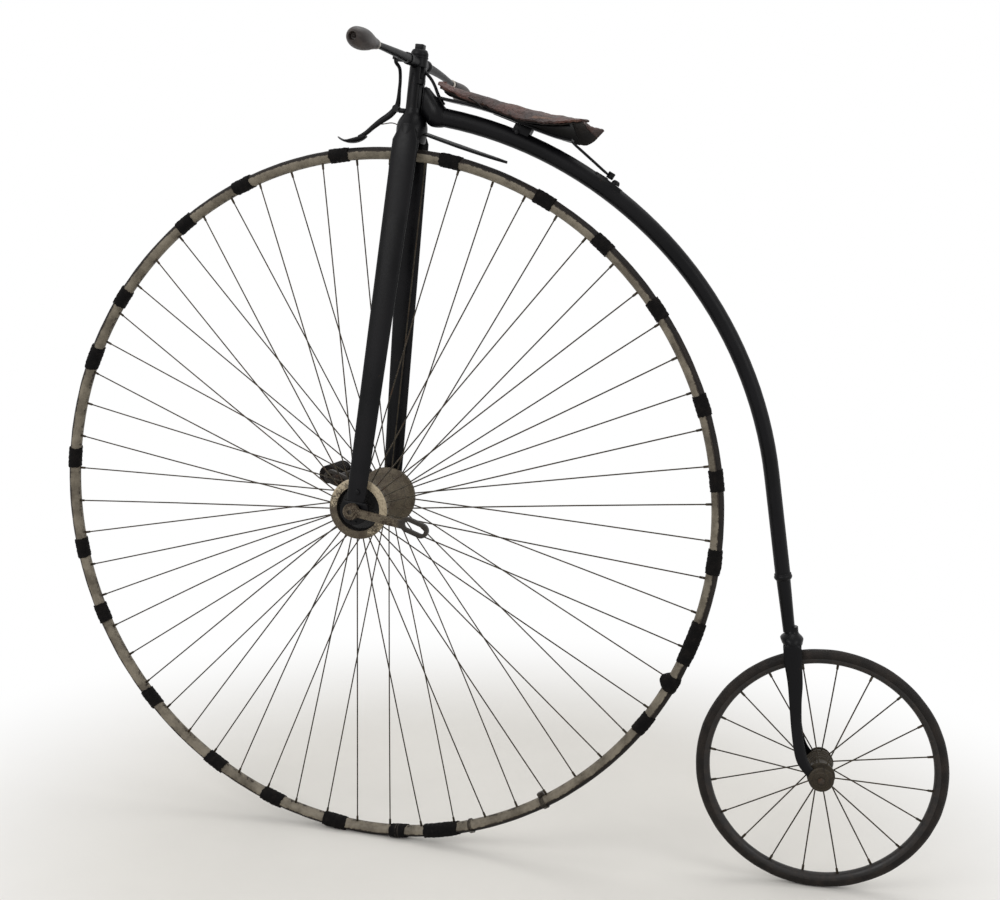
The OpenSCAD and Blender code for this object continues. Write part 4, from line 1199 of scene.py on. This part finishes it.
class BICYCLE_OT_backbone(bpy.types.Operator):
    """Bend the tapered backbone and its collar"""
    bl_idname = "bicycle.backbone"
    bl_label = "Backbone"

    def execute(self, context):
        paint = black(context)
        bm = bmesh.new()
        line = [(x, 0, z, blend(17, 13.5, 0.05 + 0.9 * share)) for x, z, share in BACKBONE]
        collar = TAIL_LENGTH - 106
        line += [(*along_tail(blend(0, collar, i / 6)), blend(13.6, 13.5, i / 6))
                 for i in range(1, 7)]
        line += [(*along_tail(collar + 1), 12.75), (*along_tail(blend(collar, TAIL_LENGTH, 0.5)),
                 11.75), (*along_tail(TAIL_LENGTH), 10.75)]
        tube(bm, [(*row, row[3]) for row in line], RIGHT, 48)
        finished("backbone_tapered", bm, BIKE, "frame", "black_paint", paint, ("backbone",))
        bm = bmesh.new()
        start = mm(*along_tail(collar))
        along = (mm(*along_tail(collar + 10)) - start).normalized()
        place = basis(along.cross(RIGHT).cross(along), along.cross(RIGHT), along, start)
        turned(bm, [(13.8, -1.6), (14.9, -1.2), (15.3, 0), (14.9, 1.4), (15.2, 2), (16.0, 3.4),
                    (16.2, 5), (16.0, 6.6), (15.2, 8), (14.6, 9.2), (13.4, 10), (12.9, 11.2)],
               56, place)
        finished("backbone_collar_turned", bm, BIKE, "frame", "black_paint", paint,
                 ("backbone_collar",), crease=60)
        return {"FINISHED"}


class BICYCLE_OT_rear_fork(bpy.types.Operator):
    """Build the rear fork: crown, two flattened blades, and the axle's nuts"""
    bl_idname = "bicycle.rear_fork"
    bl_label = "Rear fork"

    def execute(self, context):
        paint = black(context)
        bm = bmesh.new()
        loft(bm, [(x, 0, z, a, b) for z, x, a, b in flow([
                      (486, 787.5, 10.4, 10.4), (476, 787.6, 11.6, 11.6), (472, 788, 14, 16),
                      (468, 788, 18.4, 20.4), (464.5, 788, 20.6, 23.4), (461, 788.4, 20, 25.4),
                      (457, 789, 18.8, 26.6), (454.6, 789.4, 18, 26), (453.8, 789.6, 15, 23)],
                      3)], 48)
        finished("rear_fork_crown_forged", bm, BIKE, "frame", "black_paint", paint,
                 ("rear_fork_crown",))
        end = Vector(along_tail(TAIL_LENGTH)) + Vector((8, 0, -47))
        top = (end.x - REAR_X, end.z - REAR_Z - 0.3)
        for side, name in ((-1, "left"), (1, "right")):
            bm = bmesh.new()
            rows = []
            for share, ahead, out, depth, thick in flow(
                    [(-0.085, 0, 1, 12, 5), (-0.06, 3, 1, 18, 6), (-0.03, 6.5, 1, 22.5, 6.4),
                     (0.0, 11, 1, 24, 6.4), (0.05, 18, 1, 24, 6.4), (0.12, 25, 0.88, 22.5, 7),
                     (0.22, 26.5, 0.66, 20.5, 8), (0.40, 22.5, 0.38, 19.5, 9),
                     (0.62, 13.5, 0.18, 22, 9.5), (0.80, 5, 0.06, 27, 10), (1.0, -1, 0, 32, 10),
                     (1.10, -6, 0, 32, 10.4),
                     (1.14, -8, 0, 22, 8)], 4):
                rows.append((share * top[0] - ahead, side * blend(21.5, 47.5, out),
                             share * top[1], depth / 2, thick / 2))
            loft(bm, rows, 32)
            finished(f"rear_fork_{name}_flattened", bm, REAR, "frame", "black_paint", paint,
                     (f"rear_fork_{name}",))
        bm = bmesh.new()
        turned(bm, [(0, -61.4), (3.6, -61.3), (4.8, -60.2), (4.8, 60.2), (3.6, 61.3), (0, 61.4)],
               32, ACROSS)
        for side in (-1, 1):
            out = outward(side)
            turned(bm, [(4.9, 50.9), (10.6, 50.9), (11, 51.6), (10.6, 52.3), (4.9, 52.4)], 40,
                   out)
            prism(bm, 6.4, 4.6, 6, out @ at(0, 0, 56.6), 0.9)
        finished("rear_axle_and_nuts", bm, REAR, "frame", "worn_steel", bare_steel(context),
                 ("rear_axle",))
        bm = bmesh.new()
        for side in (-1, 1):
            out = outward(side)
            turned(bm, [(4.9, 50.8), (19, 50.8), (21.6, 51.2), (22.4, 52.2), (21.6, 53.4),
                        (18.6, 54.6), (15.4, 54.9), (14.6, 55.6), (13.6, 57), (11.2, 57.6),
                        (4.9, 57.8)], 56, out)
        finished("rear_axle_cones", bm, REAR, "frame", "olive_paint",
                 olive_hub("olive hub", settings(context)[1]))
        return {"FINISHED"}


class BICYCLE_OT_rear_hub(bpy.types.Operator):
    """Turn the banded rear hub"""
    bl_idname = "bicycle.rear_hub"
    bl_label = "Rear hub"

    def execute(self, context):
        profile = [(5.2, -37.8), (11, -37.9), (14.5, -36.8), (17, -35.2), (22.6, -35), (24.6, -34),
                   (25, -32), (24.6, -30), (22.6, -29), (20.4, -28.4), (19.4, -25), (19, -16),
                   (19, -2), (19.4, 2), (21.4, 3.2), (22, 5.2), (21.4, 7.2), (19.8, 8.2),
                   (19.8, 10.4), (22, 11.4), (22.8, 13.6), (22, 15.8), (20.2, 16.8),
                   (20.2, 19), (22.6, 20), (23.4, 22.2), (22.6, 24.4), (21, 25.4), (21, 27),
                   (23, 28.4), (24.6, 29.6), (25, 32), (24.6, 34), (22.6, 35), (17, 35.2),
                   (14.5, 36.8), (11, 37.9), (5.2, 37.8)]
        bm = bmesh.new()
        turned(bm, profile, 72, ACROSS, closed=True)
        finished("rear_hub_banded", bm, REAR, "rear_wheel", "olive_paint",
                 olive_hub("olive hub", settings(context)[1]), ("rear_hub",), crease=50)
        return {"FINISHED"}


class BICYCLE_OT_saddle(bpy.types.Operator):
    """Stretch the cracked leather over its iron pan"""
    bl_idname = "bicycle.saddle"
    bl_label = "Saddle leather and pan"

    def execute(self, context):
        sizes, colours = settings(context)
        wave = sizes.crease * 1000

        def hide(lift, thick, waves, from_u=0.0, to_u=1.0, spread=1.0, cells=(84, 56)):
            bm = bmesh.new()
            bmesh.ops.create_grid(bm, x_segments=cells[0], y_segments=cells[1], size=1.0)
            for vert in bm.verts:
                u, s = blend(from_u, to_u, (vert.co.x + 1) / 2), vert.co.y
                x, y, z = saddle_at(u, s, lift, spread)
                swell = noise.noise(Vector((x * 0.028, y * 0.045, 2.0)))
                fine = noise.noise(Vector((x * 0.11, y * 0.13, 7.0)))
                z += waves * wave * (1.5 * swell + 0.6 * fine)
                if u < 0.05:
                    x += 14 * (1 - u / 0.05) * max(1 - abs(s) * 3.2, 0) * waves
                    z += 2.2 * (1 - u / 0.05) * abs(s) * waves
                edge = max(abs(s) - 0.86, 0) / 0.14
                z += waves * edge * 2.4 * noise.noise(Vector((x * 0.06, 3.0, y)))
                vert.co = mm(x, y, z)
            bmesh.ops.remove_doubles(bm, verts=bm.verts, dist=1e-6)
            bmesh.ops.recalc_face_normals(bm, faces=bm.faces)
            bm.normal_update()
            if sum(face.normal.z for face in bm.faces) < 0:
                bmesh.ops.reverse_faces(bm, faces=bm.faces)
            bmesh.ops.solidify(bm, geom=bm.faces, thickness=thick / 1000)
            return bm

        finished("saddle_hide", hide(0, 3.4, 1), BIKE, "frame", "leather",
                 old_leather("old leather", colours), ("saddle_leather",), crease=60)
        # A near-black sheet just under the hide: painted shade for the shaded inside of the saddle.
        finished("saddle_underside_painted_shade", hide(-3.8, 1.6, 0.6, 0.02, 0.975, 0.955, (60, 40)), BIKE,
                 "frame", "leather", dark_hide_and_painted_shade("underside painted shade"), crease=60)
        finished("saddle_pan", hide(-5.8, 2.0, 0, 0.36, 0.9, 0.74, (40, 30)), BIKE, "frame",
                 "black_paint", black(context), ("saddle_frame",), crease=60)
        bm = bmesh.new()
        swept(bm, [(170, -22, 1405, 3, 1.2), (178, -25, 1401, 5, 1.3), (186, -26, 1396, 5, 1.3),
                   (192, -26, 1391, 4, 1.2), (196, -25.5, 1387.6, 2, 1)], 4, RIGHT, 12)
        finished("saddle_strap_end", bm, BIKE, "frame", "leather", dark_hide_and_painted_shade("strap hide"))
        return {"FINISHED"}


class BICYCLE_OT_saddle_spring(bpy.types.Operator):
    """Fit the saddle's leaf spring, its clip, its stay and the stay's clamp"""
    bl_idname = "bicycle.saddle_spring"
    bl_label = "Saddle spring"

    def execute(self, context):
        paint = black(context)
        bm = bmesh.new()
        line = flow([(114, 1406), (130, 1402.5), (170, 1394), (210, 1383), (250, 1369),
                     (290, 1353), (325, 1341), (356, 1334)], 4)
        sweep(bm, [mm(x, 0, z) for x, z in line],
              [(0.015 * min(0.72 + 0.04 * i, 1), 0.0025) for i in range(len(line))], RIGHT, 4)
        finished("saddle_spring_leaf", bm, BIKE, "frame", "black_paint", paint,
                 ("saddle_spring",), crease=50, bevel=0.9)
        refined("saddle_clip_forged", "saddle_clip", "frame", "black_paint", paint, 2.4)
        bm = bmesh.new()
        for side in (-1, 1):
            prism(bm, 4.4, 4.2, 6, BIKE @ at(257, side * 12, 1347) @ outward(side), 0.7)
        finished("saddle_clip_bolt", bm, Matrix(), "frame", "worn_steel", paint)
        bm = bmesh.new()
        swept(bm, [(354, 0, 1333, 6, 1.8), (357, 0, 1329.6, 5.6, 1.8), (362, 0, 1325.6, 3, 2.3),
                   (372, 0, 1317.4, 2.5, 2.5), (390, 0, 1302.4, 2.5, 2.5),
                   (408, 0, 1287.2, 2.5, 2.5), (416, 0, 1280.6, 3.2, 2.4),
                   (421, 0, 1276.6, 5.6, 2)], 4, RIGHT, 16)
        finished("saddle_stay_rod", bm, BIKE, "frame", "worn_steel", paint, ("saddle_stay",))

        def lumps(bm):
            tilt = Matrix.Rotation(math.radians(30), 4, "Y")
            top = BIKE @ at(421, 0, 1266) @ tilt
            prism(bm, 7.0, 12, 4, top @ at(0, 0, 4), 1.2)
            block(bm, (24, 20, 5), BIKE @ at(410, 0, 1273.5) @ tilt, 1.6)
            turned(bm, [(0, 8), (5, 7.4), (7.4, 4), (7.8, 0)], 24,
                   BIKE @ at(434, 0, 1259) @ tilt)
        refined("stay_clamp_forged", "stay_clamp", "frame", "black_paint", paint, 2.8, lumps)
        return {"FINISHED"}


class BICYCLE_PT_pieces(bpy.types.Panel):
    """Lists the pieces of the bicycle with their sizes and colours"""
    bl_idname = "BICYCLE_PT_pieces"
    bl_label = "Penny farthing bicycle"
    bl_space_type = "VIEW_3D"
    bl_region_type = "UI"
    bl_category = "Bicycle"

    def draw(self, context):
        for group in settings(context):
            box = self.layout.box()
            for name in type(group).__annotations__:
                box.prop(group, name)
        for piece in PIECES:
            self.layout.operator(piece.bl_idname)


PIECES = (
    BICYCLE_OT_stage, BICYCLE_OT_tyres, BICYCLE_OT_wraps, BICYCLE_OT_spokes,
    BICYCLE_OT_front_hub, BICYCLE_OT_cranks, BICYCLE_OT_pedal, BICYCLE_OT_head,
    BICYCLE_OT_fork, BICYCLE_OT_handlebar, BICYCLE_OT_brake, BICYCLE_OT_guard,
    BICYCLE_OT_neck, BICYCLE_OT_backbone, BICYCLE_OT_rear_fork, BICYCLE_OT_rear_hub,
    BICYCLE_OT_saddle, BICYCLE_OT_saddle_spring)
CLASSES = (BicycleColours, BicycleSizes, *PIECES, BICYCLE_PT_pieces)


def register():
    for kind in CLASSES:
        bpy.utils.register_class(kind)
    bpy.types.Scene.bicycle_colours = PointerProperty(type=BicycleColours)
    bpy.types.Scene.bicycle_sizes = PointerProperty(type=BicycleSizes)


def unregister():
    del bpy.types.Scene.bicycle_sizes
    del bpy.types.Scene.bicycle_colours
    for kind in reversed(CLASSES):
        bpy.utils.unregister_class(kind)


def main():
    register()
    for piece in PIECES:
        group, name = piece.bl_idname.split(".")
        getattr(getattr(bpy.ops, group), name)()


if __name__ == "__main__":
    main()
